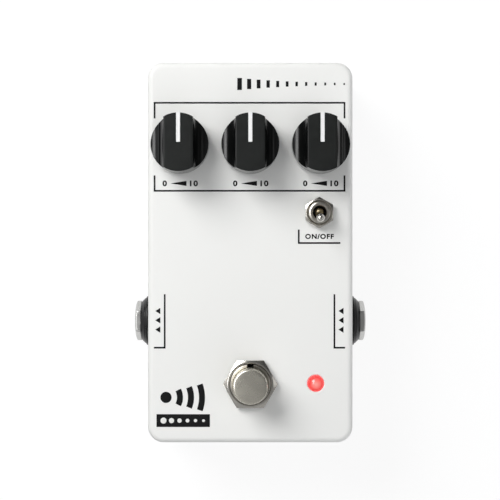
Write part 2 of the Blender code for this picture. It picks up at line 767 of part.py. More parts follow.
def make_toggle():
    at = (TOGGLE_X, TOGGLE_Y, 0)
    washer_z = CEILING_Z - SEAT_GAP - TOGGLE_WASHER_THICKNESS
    plate_top = washer_z - SEAT_GAP
    plate_bottom = plate_top - TOGGLE_PLATE_THICKNESS
    half_x, half_y = TOGGLE_BODY_WIDTH / 2, TOGGLE_BODY_LENGTH / 2
    plate = add_block(
        new_shape(), (-half_x, -half_y, plate_bottom), (half_x, half_y, plate_top)
    )
    bushing = make_piece("toggle_bushing", plate, "nickel", at=at)
    top = FACE_Z + TOGGLE_BUSHING_TOP
    edge = TOGGLE_BUSHING_EDGE
    middle = (plate_bottom + plate_top) / 2
    neck = [
        (0, middle),
        (TOGGLE_BUSHING_RADIUS, middle),
        (TOGGLE_BUSHING_RADIUS, top - edge),
        (TOGGLE_BUSHING_RADIUS - edge, top),
        (0, top),
    ]
    combine(bushing, "UNION", "neck", add_turned(new_shape(), neck, FINE_TURN_STEPS), at=at)
    bore = add_rod(
        new_shape(), (0, 0, plate_bottom - OVERRUN), (0, 0, top + OVERRUN), TOGGLE_BORE_RADIUS
    )
    combine(bushing, "DIFFERENCE", "bore", bore, at=at)

    hole = TOGGLE_BUSHING_RADIUS + SEAT_GAP
    make_ring(
        "toggle_lock_washer",
        TOGGLE_WASHER_RADIUS,
        hole,
        TOGGLE_WASHER_THICKNESS,
        "steel",
        (TOGGLE_X, TOGGLE_Y, washer_z),
    )
    crown = chamfered_crown(TOGGLE_NUT_FLATS, TOGGLE_NUT_THICKNESS)
    thread = plain_hole(hole, TOGGLE_NUT_THICKNESS)
    nut_at = (TOGGLE_X, TOGGLE_Y, FACE_Z + SEAT_GAP)
    make_nut("toggle_nut", TOGGLE_NUT_FLATS, crown, thread, "nickel", at=nut_at, corner=pi / 6)

    housing = add_block(
        new_shape(),
        (-half_x, -half_y, BOARD_TOP + SEAT_GAP),
        (half_x, half_y, plate_bottom - SEAT_GAP),
    )
    make_piece("toggle_housing", housing, "blue_plastic", at=at)


def make_toggle_lever():
    """Lever about its pivot ball, leaning towards -Y at rest."""
    pivot = (TOGGLE_X, TOGGLE_Y, FACE_Z + TOGGLE_PIVOT_HEIGHT)
    axis = make_axis("toggle_axis", pivot, (radians(TOGGLE_TILT), 0, 0))
    profile = [(0, -LEVER_TAIL_LENGTH), (LEVER_TAIL_RADIUS, -LEVER_TAIL_LENGTH)]
    profile += ball_points(LEVER_BALL_RADIUS, LEVER_TAIL_RADIUS, LEVER_NECK_RADIUS)
    tip_centre = LEVER_LENGTH - LEVER_TIP_RADIUS
    for step in range(DOME_STEPS + 1):
        angle = pi / 2 * step / DOME_STEPS
        height = tip_centre + LEVER_TIP_RADIUS * sin(angle)
        profile.append((LEVER_TIP_RADIUS * cos(angle), height))
    profile[-1] = (0, LEVER_LENGTH)
    lever = add_turned(new_shape(), profile, SMALL_TURN_STEPS)
    make_piece("toggle_lever", lever, "nickel", axis)


def ball_points(radius, low_radius, high_radius):
    """Points up a ball's side from where a thin rod enters it to where another leaves it."""
    points = []
    for step in range(DOME_STEPS + 1):
        share = step / DOME_STEPS
        low_height = -sqrt(radius**2 - low_radius**2)
        high_height = sqrt(radius**2 - high_radius**2)
        height = low_height + (high_height - low_height) * share
        points.append((sqrt(radius**2 - height**2), height))
    return points


# Footswitch


def make_footswitch():
    at = (0, FOOTSWITCH_Y, 0)
    half = FOOTSWITCH_BODY_SIDE / 2
    plate_bottom = FOOTSWITCH_PLATE_TOP - FOOTSWITCH_PLATE_THICKNESS
    plate = add_block(new_shape(), (-half, -half, plate_bottom), (half, half, FOOTSWITCH_PLATE_TOP))
    bushing = make_piece("footswitch_bushing", plate, "nickel", at=at)
    top = FACE_Z + FOOTSWITCH_BUSHING_TOP
    edge = FOOTSWITCH_BUSHING_EDGE
    radius = FOOTSWITCH_BUSHING_RADIUS
    middle = (plate_bottom + FOOTSWITCH_PLATE_TOP) / 2
    neck = [(0, middle), (radius, middle), (radius, top - edge), (radius - edge, top), (0, top)]
    combine(bushing, "UNION", "neck", add_turned(new_shape(), neck, FINE_TURN_STEPS), at=at)
    bore_radius = BUTTON_RADIUS + SEAT_GAP
    stem_hole = STEM_RADIUS + SEAT_GAP
    bore = [
        (0, plate_bottom - OVERRUN),
        (stem_hole, plate_bottom - OVERRUN),
        (stem_hole, FOOTSWITCH_PLATE_TOP),
        (bore_radius, FOOTSWITCH_PLATE_TOP),
        (bore_radius, top + OVERRUN),
        (0, top + OVERRUN),
    ]
    combine(bushing, "DIFFERENCE", "bore", add_turned(new_shape(), bore, FINE_TURN_STEPS), at=at)
    half_key = FOOTSWITCH_KEY_WIDTH / 2
    keyway = add_block(
        new_shape(),
        (-half_key, bore_radius - OVERRUN, top - FOOTSWITCH_KEY_DEPTH),
        (half_key, radius + OVERRUN, top + OVERRUN),
    )
    combine(bushing, "DIFFERENCE", "keyway", keyway, at=at)

    hole = radius + SEAT_GAP
    washer_z = CEILING_Z - SEAT_GAP - FOOTSWITCH_WASHER_THICKNESS
    make_ring(
        "footswitch_lock_washer",
        FOOTSWITCH_WASHER_RADIUS,
        hole,
        FOOTSWITCH_WASHER_THICKNESS,
        "steel",
        (0, FOOTSWITCH_Y, washer_z),
    )
    nut_places = {
        "footswitch_nut": (FOOTSWITCH_NUT_THICKNESS, FACE_Z + SEAT_GAP),
        "footswitch_inner_nut": (
            FOOTSWITCH_INNER_NUT_THICKNESS,
            washer_z - SEAT_GAP - FOOTSWITCH_INNER_NUT_THICKNESS,
        ),
    }
    for name, (thickness, z) in nut_places.items():
        crown = chamfered_crown(FOOTSWITCH_NUT_FLATS, thickness)
        thread = plain_hole(hole, thickness)
        make_nut(name, FOOTSWITCH_NUT_FLATS, crown, thread, "nickel", at=(0, FOOTSWITCH_Y, z))


def make_footswitch_housing():
    at = (0, FOOTSWITCH_Y, 0)
    half = FOOTSWITCH_BODY_SIDE / 2
    body = add_block(
        new_shape(), (-half, -half, FOOTSWITCH_BODY_BOTTOM), (half, half, FOOTSWITCH_BODY_TOP)
    )
    housing = make_piece("footswitch_housing", body, "blue_plastic", at=at)
    lugs = new_shape()
    lug_bottom = FOOTSWITCH_BODY_BOTTOM - FOOTSWITCH_LUG_LENGTH
    lug_top = FOOTSWITCH_BODY_BOTTOM + FOOTSWITCH_LUG_LENGTH
    half_width, half_thick = FOOTSWITCH_LUG_WIDTH / 2, FOOTSWITCH_LUG_THICKNESS / 2
    for column in (-1, 0, 1):
        for row in (-1, 0, 1):
            x, y = column * FOOTSWITCH_LUG_PITCH, row * FOOTSWITCH_LUG_PITCH
            add_block(
                lugs,
                (x - half_width, y - half_thick, lug_bottom),
                (x + half_width, y + half_thick, lug_top),
            )
    combine(housing, "UNION", "lugs", lugs, at=at)
    well_bottom = stem_bottom() - FOOTSWITCH_TRAVEL - SEAT_GAP
    well = add_rod(
        new_shape(),
        (0, 0, well_bottom),
        (0, 0, FOOTSWITCH_BODY_TOP + OVERRUN),
        STEM_RADIUS + SEAT_GAP,
    )
    combine(housing, "DIFFERENCE", "stem_well", well, at=at)


def cap_bottom():
    return FACE_Z - BUTTON_SINK


def stem_bottom():
    return cap_bottom() - STEM_LENGTH


def make_button():
    axis = make_axis("footswitch_axis", (0, FOOTSWITCH_Y, 0))
    top = FACE_Z + BUTTON_TOP
    flat = BUTTON_RADIUS - BUTTON_EDGE
    profile = [
        (0, stem_bottom()),
        (STEM_RADIUS, stem_bottom()),
        (STEM_RADIUS, cap_bottom()),
        (BUTTON_RADIUS, cap_bottom()),
    ]
    for step in range(FILLET_STEPS + 1):
        angle = pi / 2 * step / FILLET_STEPS
        height = top - BUTTON_EDGE * (1 - sin(angle))
        profile.append((flat + BUTTON_EDGE * cos(angle), height))
    profile.append((0, top))
    body = add_turned(new_shape(), profile, FINE_TURN_STEPS)
    make_piece("footswitch_button", body, "nickel", axis)


def spring_points():
    low = FOOTSWITCH_PLATE_TOP + SEAT_GAP + SPRING_WIRE_RADIUS
    high = cap_bottom() - SEAT_GAP - SPRING_WIRE_RADIUS
    count = SPRING_TURNS * SPRING_TURN_POINTS
    points = []
    for index in range(count + 1):
        angle = 2 * pi * index / SPRING_TURN_POINTS
        height = low + (high - low) * index / count
        points.append((SPRING_RADIUS * cos(angle), SPRING_RADIUS * sin(angle), height))
    return points


def make_spring():
    points = spring_points()
    curve = bpy.data.curves.new("footswitch_spring", "CURVE")
    curve.dimensions = "3D"
    curve.bevel_depth = SPRING_WIRE_RADIUS
    curve.bevel_resolution = 1
    curve.use_fill_caps = True
    line = curve.splines.new("POLY")
    line.points.add(len(points) - 1)
    for target, point in zip(line.points, points):
        target.co = (*point, 1)
    line.use_smooth = True
    spring = place(
        bpy.data.objects.new("footswitch_spring", curve), None, (0, FOOTSWITCH_Y, 0), (0, 0, 0)
    )
    curve.materials.append(make_material("footswitch_spring", "steel"))
    pitch = (points[-1][2] - points[0][2]) / SPRING_TURNS
    print("least gap between spring turns", pitch - 2 * SPRING_WIRE_RADIUS)
    return spring


# LED


def make_led():
    at = (LED_X, LED_Y, 0)
    flange_top = CEILING_Z - SEAT_GAP
    flange_bottom = flange_top - LED_FLANGE_THICKNESS
    dome_centre = FACE_Z + LED_TOP - LED_RADIUS
    profile = [
        (0, flange_bottom),
        (LED_FLANGE_RADIUS, flange_bottom),
        (LED_FLANGE_RADIUS, flange_top),
        (LED_RADIUS, flange_top),
    ]
    for step in range(DOME_STEPS):
        angle = pi / 2 * step / DOME_STEPS
        height = dome_centre + LED_RADIUS * sin(angle)
        profile.append((LED_RADIUS * cos(angle), height))
    profile.append((0, dome_centre + LED_RADIUS))
    led = make_piece("led", add_turned(new_shape(), profile), "red_lens", at=at)
    legs = new_shape()
    half = LED_LEG_WIDTH / 2
    for sign in (-1, 1):
        x = sign * LED_LEG_PITCH / 2
        add_block(
            legs,
            (x - half, -half, FOOT_BOARD_TOP + SEAT_GAP),
            (x + half, half, flange_bottom + LED_FLANGE_THICKNESS / 2),
        )
    combine(led, "UNION", "legs", legs, at=at)
    spacer_bottom = FOOT_BOARD_TOP + SEAT_GAP
    spacer_top = flange_bottom - SEAT_GAP
    make_ring(
        "led_spacer",
        LED_SPACER_RADIUS,
        LED_SPACER_BORE_RADIUS,
        spacer_top - spacer_bottom,
        "black_satin",
        (LED_X, LED_Y, spacer_bottom),
    )


# Jacks: in each jack's frame +X points out of the box along the bore


def jack_wall(z):
    return outer_half(BOX_WIDTH, z)


def jack_washer_back():
    """The washer touches the wall where it stands out most."""
    walls = [jack_wall(JACK_Z + sign * JACK_WASHER_RADIUS) for sign in (-1, 1)]
    return max(walls) + SEAT_GAP


def jack_nut_back():
    return jack_washer_back() + JACK_WASHER_THICKNESS + SEAT_GAP / 2


def jack_bore_end():
    return JACK_MIDDLE_CLEARANCE + JACK_REAR_WALL


def jack_mouth():
    """The bushing ends inside the nut, under its lip."""
    return jack_nut_back() + JACK_NUT_THICKNESS - JACK_NUT_LIP_THICKNESS - SEAT_GAP


def make_jack_body(name, axis):
    half_y, half_z = JACK_BODY_WIDTH / 2, JACK_BODY_HEIGHT / 2
    front = inner_half(BOX_WIDTH, JACK_Z - half_z, JACK_Z + half_z)
    bore_end = jack_bore_end()
    rear = JACK_MIDDLE_CLEARANCE
    block = add_block(new_shape(), (rear, -half_y, -half_z), (front, half_y, half_z))
    body = make_piece(name + "_jack_body", block, "black_satin", axis)
    barrel = add_rod(new_shape(), (bore_end, 0, 0), (jack_mouth(), 0, 0), JACK_BUSHING_RADIUS)
    combine(body, "UNION", "barrel", barrel, axis)
    bore = add_rod(new_shape(), (bore_end, 0, 0), (jack_mouth() + OVERRUN, 0, 0), JACK_BORE_RADIUS)
    combine(body, "DIFFERENCE", "bore", bore, axis)
    half_slot = CONTACT_WIDTH / 2 + SEAT_GAP
    slot_start = bore_end + CONTACT_START - SEAT_GAP
    slot_end = slot_start + CONTACT_LENGTH + SEAT_GAP * 2
    slot = add_block(
        new_shape(),
        (slot_start, -half_slot, -half_z - OVERRUN),
        (slot_end, half_slot, -JACK_BORE_RADIUS / 2),
    )
    combine(body, "DIFFERENCE", "contact_slot", slot, axis)


def make_jack_contact(name, axis):
    """Spring leaf below the bore with a tab down through the body's slot, as (y, z) along X."""
    start = jack_bore_end() + CONTACT_START
    end = start + CONTACT_LENGTH
    leaf_top = -JACK_BORE_RADIUS - RUNNING_GAP
    tab_bottom = -JACK_BODY_HEIGHT / 2 - CONTACT_TAB
    outline = [
        (start, tab_bottom),
        (start + CONTACT_THICKNESS, tab_bottom),
        (start + CONTACT_THICKNESS, leaf_top - CONTACT_THICKNESS),
        (end, leaf_top - CONTACT_THICKNESS),
        (end, leaf_top),
        (start, leaf_top),
    ]
    half = CONTACT_WIDTH / 2
    leaf = add_prism_y(new_shape(), outline, -half, half)
    make_piece(name + "_jack_contact", leaf, "brass", axis)


def jack_nut_crown():
    """Domed front of the jack nut, from its corners round to the flat about the bore."""
    corner_radius = JACK_NUT_FLATS / sqrt(3)
    run = corner_radius - JACK_NUT_FACE_RADIUS
    shoulder = JACK_NUT_THICKNESS - JACK_NUT_DOME
    crown = [(corner_radius + OVERRUN, shoulder - OVERRUN)]
    for step in range(DOME_STEPS + 1):
        angle = pi / 2 * step / DOME_STEPS
        height = shoulder + JACK_NUT_DOME * sin(angle)
        crown.append((JACK_NUT_FACE_RADIUS + run * cos(angle), height))
    return crown


def make_jack(name, axis):
    along_x = (0, pi / 2, 0)
    make_jack_body(name, axis)
    make_jack_contact(name, axis)
    hole = JACK_BUSHING_RADIUS + SEAT_GAP
    washer = [
        (hole, 0),
        (JACK_WASHER_RADIUS, 0),
        (JACK_WASHER_RADIUS, JACK_WASHER_RIM),
        (JACK_WASHER_FRONT_RADIUS, JACK_WASHER_THICKNESS),
        (hole, JACK_WASHER_THICKNESS),
    ]
    make_piece(
        name + "_jack_washer",
        add_turned(new_shape(), washer, FINE_TURN_STEPS, ring=True),
        "black_satin",
        axis,
        (jack_washer_back(), 0, 0),
        along_x,
    )
    under_lip = JACK_NUT_THICKNESS - JACK_NUT_LIP_THICKNESS
    lip = [(JACK_NUT_LIP_RADIUS, JACK_NUT_THICKNESS), (JACK_NUT_LIP_RADIUS, under_lip)]
    make_nut(
        name + "_jack_nut",
        JACK_NUT_FLATS,
        jack_nut_crown(),
        [*lip, *plain_hole(hole, under_lip)],
        "nickel",
        axis,
        (jack_nut_back(), 0, 0),
        along_x,
        corner=pi / 6,
    )


def make_jacks():
    for name, turn in {"input": 0, "output": pi}.items():
        make_jack(name, make_axis(f"{name}_jack_axis", (0, JACK_Y, JACK_Z), (0, 0, turn)))


# Power socket


def dc_top():
    return BOARD_BOTTOM - SEAT_GAP


def dc_axis_z():
    return dc_top() - DC_BODY_HEIGHT / 2


def make_power_socket():
    half = DC_BODY_WIDTH / 2
    z = dc_axis_z()
    front = inner_half(BOX_LENGTH, dc_top() - DC_BODY_HEIGHT, dc_top())
    rear = front - DC_BODY_DEPTH
    mouth = outer_half(BOX_LENGTH, z) - DC_NOSE_SINK
    block = add_block(
        new_shape(), (-half, rear, dc_top() - DC_BODY_HEIGHT), (half, front, dc_top())
    )
    body = make_piece("power_socket_body", block, "black_satin")
    nose = add_rod(new_shape(), (0, (rear + front) / 2, z), (0, mouth, z), DC_NOSE_RADIUS)
    combine(body, "UNION", "nose", nose)
    bore_end = mouth - DC_BORE_DEPTH
    bore = add_rod(new_shape(), (0, bore_end, z), (0, mouth + OVERRUN, z), DC_BORE_RADIUS)
    combine(body, "DIFFERENCE", "bore", bore)
    pin_end = mouth - DC_PIN_SINK
    pin = add_rod(new_shape(), (0, bore_end + SEAT_GAP, z), (0, pin_end, z), DC_PIN_RADIUS)
    make_piece("power_socket_pin", pin, "nickel")


# Boards, components and ribbon cable


def make_boards():
    levels = (BOARD_BOTTOM, BOARD_TOP)
    half = inner_half(BOX_WIDTH, *levels) - BOARD_SIDE_CLEARANCE
    back = inner_half(BOX_LENGTH, *levels) - BOARD_BACK_CLEARANCE
    sheet = add_block(
        new_shape(), (-half, BOARD_FRONT_Y, BOARD_BOTTOM), (half, back, BOARD_TOP)
    )
    board = make_piece("main_board", sheet, "circuit_board")
    notches = new_shape()
    for x, y in boss_places():
        if y > 0:
            low = (x - BOSS_RADIUS - OVERRUN, y - BOSS_RADIUS - OVERRUN, BOARD_BOTTOM - OVERRUN)
            high = (x + BOSS_RADIUS + OVERRUN, y + BOSS_RADIUS + OVERRUN, BOARD_TOP + OVERRUN)
            add_block(notches, low, high)
    combine(board, "DIFFERENCE", "boss_notches", notches)

    lugs_x = FOOTSWITCH_LUG_PITCH + FOOTSWITCH_LUG_WIDTH / 2
    lugs_y = FOOTSWITCH_LUG_PITCH + FOOTSWITCH_LUG_THICKNESS / 2
    low_x = -lugs_x - FOOT_BOARD_MARGIN
    low_y = FOOTSWITCH_Y - lugs_y - FOOT_BOARD_MARGIN
    high_x = LED_X + LED_SPACER_RADIUS + FOOT_BOARD_MARGIN
    high_y = RIBBON_END_Y + RIBBON_THICKNESS / 2 + FOOT_BOARD_MARGIN
    foot_board = add_block(
        new_shape(),
        (low_x, low_y, FOOT_BOARD_TOP - BOARD_THICKNESS),
        (high_x, high_y, FOOT_BOARD_TOP),
    )
    make_piece("footswitch_board", foot_board, "circuit_board")


def make_chip(name, pairs):
    """Chip under the main board: a block with a row of bent legs along each long side."""
    top = BOARD_BOTTOM - SEAT_GAP - CHIP_STANDOFF
    half_x, half_y = pairs * CHIP_PITCH / 2, CHIP_WIDTH / 2
    middle = top - CHIP_HEIGHT / 2
    x_share, y_share = CHIP_SHARES[name]
    at = (HALF_WIDTH * x_share, HALF_LENGTH * y_share, 0)
    block = add_block(new_shape(), (-half_x, -half_y, top - CHIP_HEIGHT), (half_x, half_y, top))
    body = make_piece(name, block, "black_satin", at=at)
    legs = new_shape()
    half_leg = CHIP_LEG_WIDTH / 2
    foot = BOARD_BOTTOM - SEAT_GAP
    for sign in (-1, 1):
        inner = sign * (half_y - CHIP_LEG_REACH)
        knee = sign * (half_y + CHIP_LEG_REACH)
        outline = leg_outline(inner, knee, CHIP_LEG_WIDTH / 2, middle, foot)
        for pair in range(pairs):
            x = (pair - (pairs - 1) / 2) * CHIP_PITCH
            add_prism_x(legs, outline, x - half_leg, x + half_leg)
    combine(body, "UNION", "legs", legs, at=at)


def make_capacitors():
    for name, (x_share, y_share) in CAPACITOR_SHARES.items():
        x, y = HALF_WIDTH * x_share, HALF_LENGTH * y_share
        top = BOARD_BOTTOM - SEAT_GAP
        waist = top - CAPACITOR_GROOVE_HEIGHT
        shoulder = waist - CAPACITOR_GROOVE_HEIGHT / 2
        bottom = top - CAPACITOR_HEIGHT
        profile = [
            (0, bottom),
            (CAPACITOR_RADIUS, bottom),
            (CAPACITOR_RADIUS, shoulder),
            (CAPACITOR_RADIUS - CAPACITOR_GROOVE, waist),
            (CAPACITOR_RADIUS, top - CAPACITOR_GROOVE_HEIGHT / 2),
            (CAPACITOR_RADIUS, top),
            (0, top),
        ]
        can = add_turned(new_shape(), profile, SMALL_TURN_STEPS)
        make_piece(name, can, "black_satin", at=(x, y, 0))


def ribbon_line():
    """Middle line of the ribbon as (y, z): down from the main board, forward, down to the other."""
    start_z = BOARD_BOTTOM - SEAT_GAP
    end_z = FOOT_BOARD_TOP + SEAT_GAP
    bend = RIBBON_BEND_RADIUS
    low_z = end_z + bend
    points = [(RIBBON_START_Y, start_z)]
    for step in range(RIBBON_STEPS + 1):
        angle = pi / 2 * step / RIBBON_STEPS
        y = RIBBON_START_Y - bend * (1 - cos(angle))
        points.append((y, low_z + bend * (1 - sin(angle))))
    for step in range(RIBBON_STEPS + 1):
        angle = pi / 2 * step / RIBBON_STEPS
        y = RIBBON_END_Y + bend * (1 - sin(angle))
        points.append((y, low_z - bend * (1 - cos(angle))))
    return points


def make_ribbon():
    line = [Vector(point) for point in ribbon_line()]
    half = RIBBON_THICKNESS / 2
    upper, lower = [], []
    for index, point in enumerate(line):
        ahead = line[min(index + 1, len(line) - 1)]
        behind = line[max(index - 1, 0)]
        along = (ahead - behind).normalized()
        side = Vector((-along.y, along.x)) * half
        upper.append(point + side)
        lower.append(point - side)
    outline = [tuple(point) for point in upper + lower[::-1]]
    ribbon = add_prism_x(new_shape(), outline, -RIBBON_WIDTH / 2, RIBBON_WIDTH / 2)
    make_piece("ribbon_cable", ribbon, "ribbon_grey")


def main():
    clear_scene()
    make_shell()
    make_base_plate()
    make_screws()
    make_feet()
    make_pots_and_knobs()
    make_toggle()
    make_toggle_lever()
    make_footswitch()
    make_footswitch_housing()
    make_button()
    make_spring()
    make_led()
    make_jacks()
    make_power_socket()
    make_boards()
    for name, pairs in CHIP_PAIRS.items():
        make_chip(name, pairs)
    make_capacitors()
    make_ribbon()


main()
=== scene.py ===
"""Looks of a delay pedal: its fine outer pieces, finishes and print, with camera, light and floor.

Everything is in metres in the frame of the solids: +Z up out of the face, +Y towards the knobs.
"""

from math import atan2, cos, pi, radians, sin, sqrt, tan

import bmesh
import bpy
from mathutils import Matrix, Vector


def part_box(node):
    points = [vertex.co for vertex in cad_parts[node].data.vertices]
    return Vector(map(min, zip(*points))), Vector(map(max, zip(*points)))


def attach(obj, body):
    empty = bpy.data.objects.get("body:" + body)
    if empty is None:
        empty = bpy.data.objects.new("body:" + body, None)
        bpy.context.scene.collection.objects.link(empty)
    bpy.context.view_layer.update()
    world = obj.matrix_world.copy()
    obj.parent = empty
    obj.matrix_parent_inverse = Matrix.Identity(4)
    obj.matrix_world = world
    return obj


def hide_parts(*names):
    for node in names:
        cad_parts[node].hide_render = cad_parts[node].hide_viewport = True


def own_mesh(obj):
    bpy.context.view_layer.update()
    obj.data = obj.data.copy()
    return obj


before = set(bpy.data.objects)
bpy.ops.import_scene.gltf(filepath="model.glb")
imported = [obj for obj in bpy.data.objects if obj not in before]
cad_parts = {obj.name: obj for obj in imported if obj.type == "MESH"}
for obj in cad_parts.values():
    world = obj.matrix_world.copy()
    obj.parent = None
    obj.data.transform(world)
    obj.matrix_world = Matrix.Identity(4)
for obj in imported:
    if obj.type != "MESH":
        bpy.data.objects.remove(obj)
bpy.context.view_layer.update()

# Camera, which looks straight down at the face
IMAGE_PIXELS = 500
SENSOR_WIDTH = 36
LENS = 103.5
CAMERA_PLACE = Vector((-0.00009, 0.00077, 0.4536))
CLIP_START = 0.01

# Enclosure
WALL = 0.0022
WALL_LEAN = 0.0003
CORNER_RADIUS = 0.0046
FACE_FILLET = 0.0017
FILLET_END_SHARE = 1.3
BASE_HEIGHT = 0.0040
BASE_CHAMFER = 0.0008
FLOOR_THICKNESS = 0.0022
LIP_WIDTH = 0.0015
SEAT_GAP = 0.0003
BOSS_RADIUS = 0.0038
POT_HOLE_RADIUS = 0.0039
SCREW_RADIUS = 0.00175
SCREW_HEAD_RADIUS = 0.0032
SCREW_HEAD_DEPTH = 0.0018
SCREW_SLOT_WIDTH = 0.0007
SCREW_SLOT_LENGTH = 0.0036
SCREW_SLOT_DEPTH = 0.0009
SCREW_CONE_SHARES = (2.2, 2.0)
SCREW_FIRST_TURN = 17
SCREW_NEXT_TURN = 41
CUT_EDGE = 0.0002
OVERRUN = 0.001

# Inset and rise of the points round the lower edge, as shares of the chamfer
CHAMFER_SHARES = ((0, 1.2), (0.06, 0.8), (0.8, 0.06), (1.2, 0))

# Points up a foot's side: share of its radius, height over its bottom or under its top, softened length
FOOT_BOTTOM = ((0, 0, 0), (0.62, 0, 0.0003), (0.90, 0.00012, 0.0005))
FOOT_TOP = ((1, 0.0007, 0.0005), (1, 0, 0.0001), (0, 0, 0))

# Knobs
KNOB_TOP_RADIUS = 0.0083
KNOB_RIM_HEIGHT = 0.0048
KNOB_BAR_HALF_WIDTH = 0.0042
KNOB_RECESS_RADIUS = 0.0064
KNOB_RECESS_DEPTH = 0.0034
KNOB_SOFT_EDGE = 0.00018
KNOB_BEVEL_WIDTH = 0.0005
KNOB_BEVEL_DROP = 0.00017
KNOB_MATT_REACH = 1.5
LEVEL_NORMAL = 0.9
POINTER_WIDTH = 0.00113
POINTER_THICKNESS = 0.0005
POINTER_DROP = 0.0092
POINTER_SOFT_EDGE = 0.00004
INLAY_GAP = 0.00003
SHAFT_RADIUS = 0.0030

# Toggle switch
TOGGLE_TILT = 13
TOGGLE_PIVOT_HEIGHT = 0.0020
TOGGLE_BUSHING_RADIUS = 0.00315
TOGGLE_BORE_RADIUS = 0.00195
TOGGLE_THREAD_PITCH = 0.000635
TOGGLE_THREAD_DEPTH = 0.00022
TOGGLE_NUT_FLATS = 0.0080
TOGGLE_NUT_EDGE = 0.0004
TOGGLE_SINK_SLOPE = 0.42
INSULATOR_THICKNESS = 0.0004
LEVER_LENGTH = 0.0087
LEVER_BALL_RADIUS = 0.0014
LEVER_NECK_RADIUS = 0.00075
LEVER_TIP_RADIUS = 0.00118
LEVER_TAIL_LENGTH = 0.0034
LEVER_TAIL_RADIUS = 0.0006
LEVER_SWELL = 1.6
LEVER_BRASS_SHARE = 1.25

# Inset and drop of the points over the end of the toggle's bushing, from its side inwards
TOGGLE_CROWN = ((0.00003, 0.0003), (0.0001, 0.00018), (0.00045, 0.00002), (0.00052, 0))

# Footswitch
FOOTSWITCH_BUSHING_RADIUS = 0.0059
FOOTSWITCH_THREAD_PITCH = 0.00075
FOOTSWITCH_THREAD_DEPTH = 0.00025
FOOTSWITCH_LIP_DROP = 0.0002
FOOTSWITCH_CREST_SHARE = 0.42
FOOTSWITCH_NUT_FLATS = 0.0138
FOOTSWITCH_NUT_GAP = 0.00006
FOOTSWITCH_KEY_WIDTH = 0.0019
FOOTSWITCH_KEY_DEPTH = 0.0050
KEY_SLACK = 1.01
KEY_REACH_SHARE = 0.9
PLATE_THICKNESS = {"toggle_bushing": 0.0008, "footswitch_bushing": 0.0010}
BUSHING_EDGE = 0.0003
SLIP_GAP = 0.00005
BUTTON_RADIUS = 0.0050
BUTTON_GAP = 0.00012
BUTTON_EDGE = 0.0006
BUTTON_CROWN = 0.00018
BUTTON_CROWN_SHARE = 0.8
BUTTON_SINK = 0.0020
STEM_RADIUS = 0.0022
SPRING_WIRE_RADIUS = 0.00028
SPRING_WIRE_STEPS = 12
SPRING_TURNS = 4
SPRING_END_SHARE = 0.55

# Lamp
LED_RADIUS = 0.0025
LED_FLANGE_THICKNESS = 0.0010
LED_HOLE_GAP = 0.00004
LEG_PITCH = 0.00254
LEG_WIDTH = 0.0005

# Jacks and power socket
JACK_BUSHING_RADIUS = 0.0042
JACK_BUSHING_GAP = 0.0001
JACK_BUSHING_START = 0.001
JACK_BORE_RADIUS = 0.00325
JACK_BODY_EDGE = 0.0005
JACK_REAR_WALL = 0.0012
JACK_WASHER_FRONT_RADIUS = 0.0057
JACK_WASHER_RIM = 0.0005
JACK_WASHER_THIN = 0.0002
JACK_WASHER_BACK_EDGE = 0.00012
JACK_WASHER_EDGE = 0.00015
JACK_RING_SHARE = 0.94
JACK_RING_EDGE = 0.00005
JACK_RING_DEPTH_SHARE = 1.3
JACK_NUT_FLATS = 0.0104
JACK_NUT_CROWN_RADIUS = 0.0200
JACK_NUT_THIN = 0.0001
JACK_NUT_REACH = 0.0003
JACK_NUT_SOFT_EDGE = 0.00042
JACK_NUT_FACE_RADIUS = 0.0038
JACK_NUT_LIP_RADIUS = 0.0035
JACK_NUT_LIP_THICKNESS = 0.0005
CONTACT_SLOT_MARGIN = 0.0003
DC_BODY_EDGE = 0.0004
DC_NOSE_RADIUS = 0.0042
DC_NOSE_START = 0.002
DC_NOSE_EDGE = 0.00015
DC_BORE_RADIUS = 0.00315
DC_BORE_DEPTH = 0.0100
DC_PIN_TIP_SHARE = 0.8

# Ribbon cable; a wave texture's bands lie 1 / (turn x scale) apart
RIBBON_PITCH = 0.00127
WAVE_TURN = 6.283

# Print on the face: heights in metres, places and sizes in pixels of the 500 x 500 photograph
PRINT_THICKNESS = 0.00003
PRINT_LIFT = 0.000002
LETTER_WEIGHT = 0.042
LETTER_SPACE = 1.18
LETTER_THICKNESS = 0.1
LETTER_WELD = 0.0001
SHARPEST_MITRE = 0.3
LINE_PIXELS = 1.68
FRAME_LINES = (
    ((154.6, 118.4), (154.6, 102.8), (344.5, 102.8), (344.5, 118.4)),
    ((154.6, 175.4), (154.6, 190.8), (344.5, 190.8), (344.5, 175.4)),
    ((298.75, 229.6), (298.75, 243.0), (340.35, 243.0)), ((164.7, 294.2), (164.7, 347.7), (153.9, 347.7)),
    ((334.4, 294.2), (334.4, 347.7), (345.05, 347.7)),
)
BAR_COUNT = 12
BAR_ENDS = (239.6, 344.2)
BAR_LEVEL = 84.0
BAR_HALF_SIZE = (2.3, 6.0)
BAR_SHRINK = (0.9, 0.85)
DIAL_MIDDLES = (179.5, 250.0, 320.0)
DIAL_ROWS = (180.5, 186.3)
DIAL_WEDGE = ((-9.0, 183.4), (7.0, 180.9), (7.0, 185.9))
DIAL_WORDS = {"0": (-17.0, -12.6), "10": (10.4, 18.4)}
SWITCH_WORDS_BOX = (305.2, 233.9, 333.8, 239.0)
ARROW_COLUMNS = (158.0, 341.2)
ARROW_ROWS = (311.0, 320.3, 329.6)
ARROW_POINTS = ((2.3, -3.2), (-2.7, 0.0), (2.3, 3.2))
MARK_DISC = (166.0, 397.4, 5.6)
MARK_CENTRE = (164.0, 397.4)
MARK_RADII = (16.0, 27.0, 38.0)
MARK_WIDTH = 6.0
MARK_HALF_ANGLE = 14
MARK_SPREAD = 220
BADGE_BOX = (156.5, 414.2, 209.9, 427.0)
BADGE_DOTS = 6
BADGE_DOT_START = (163.5, 420.6)
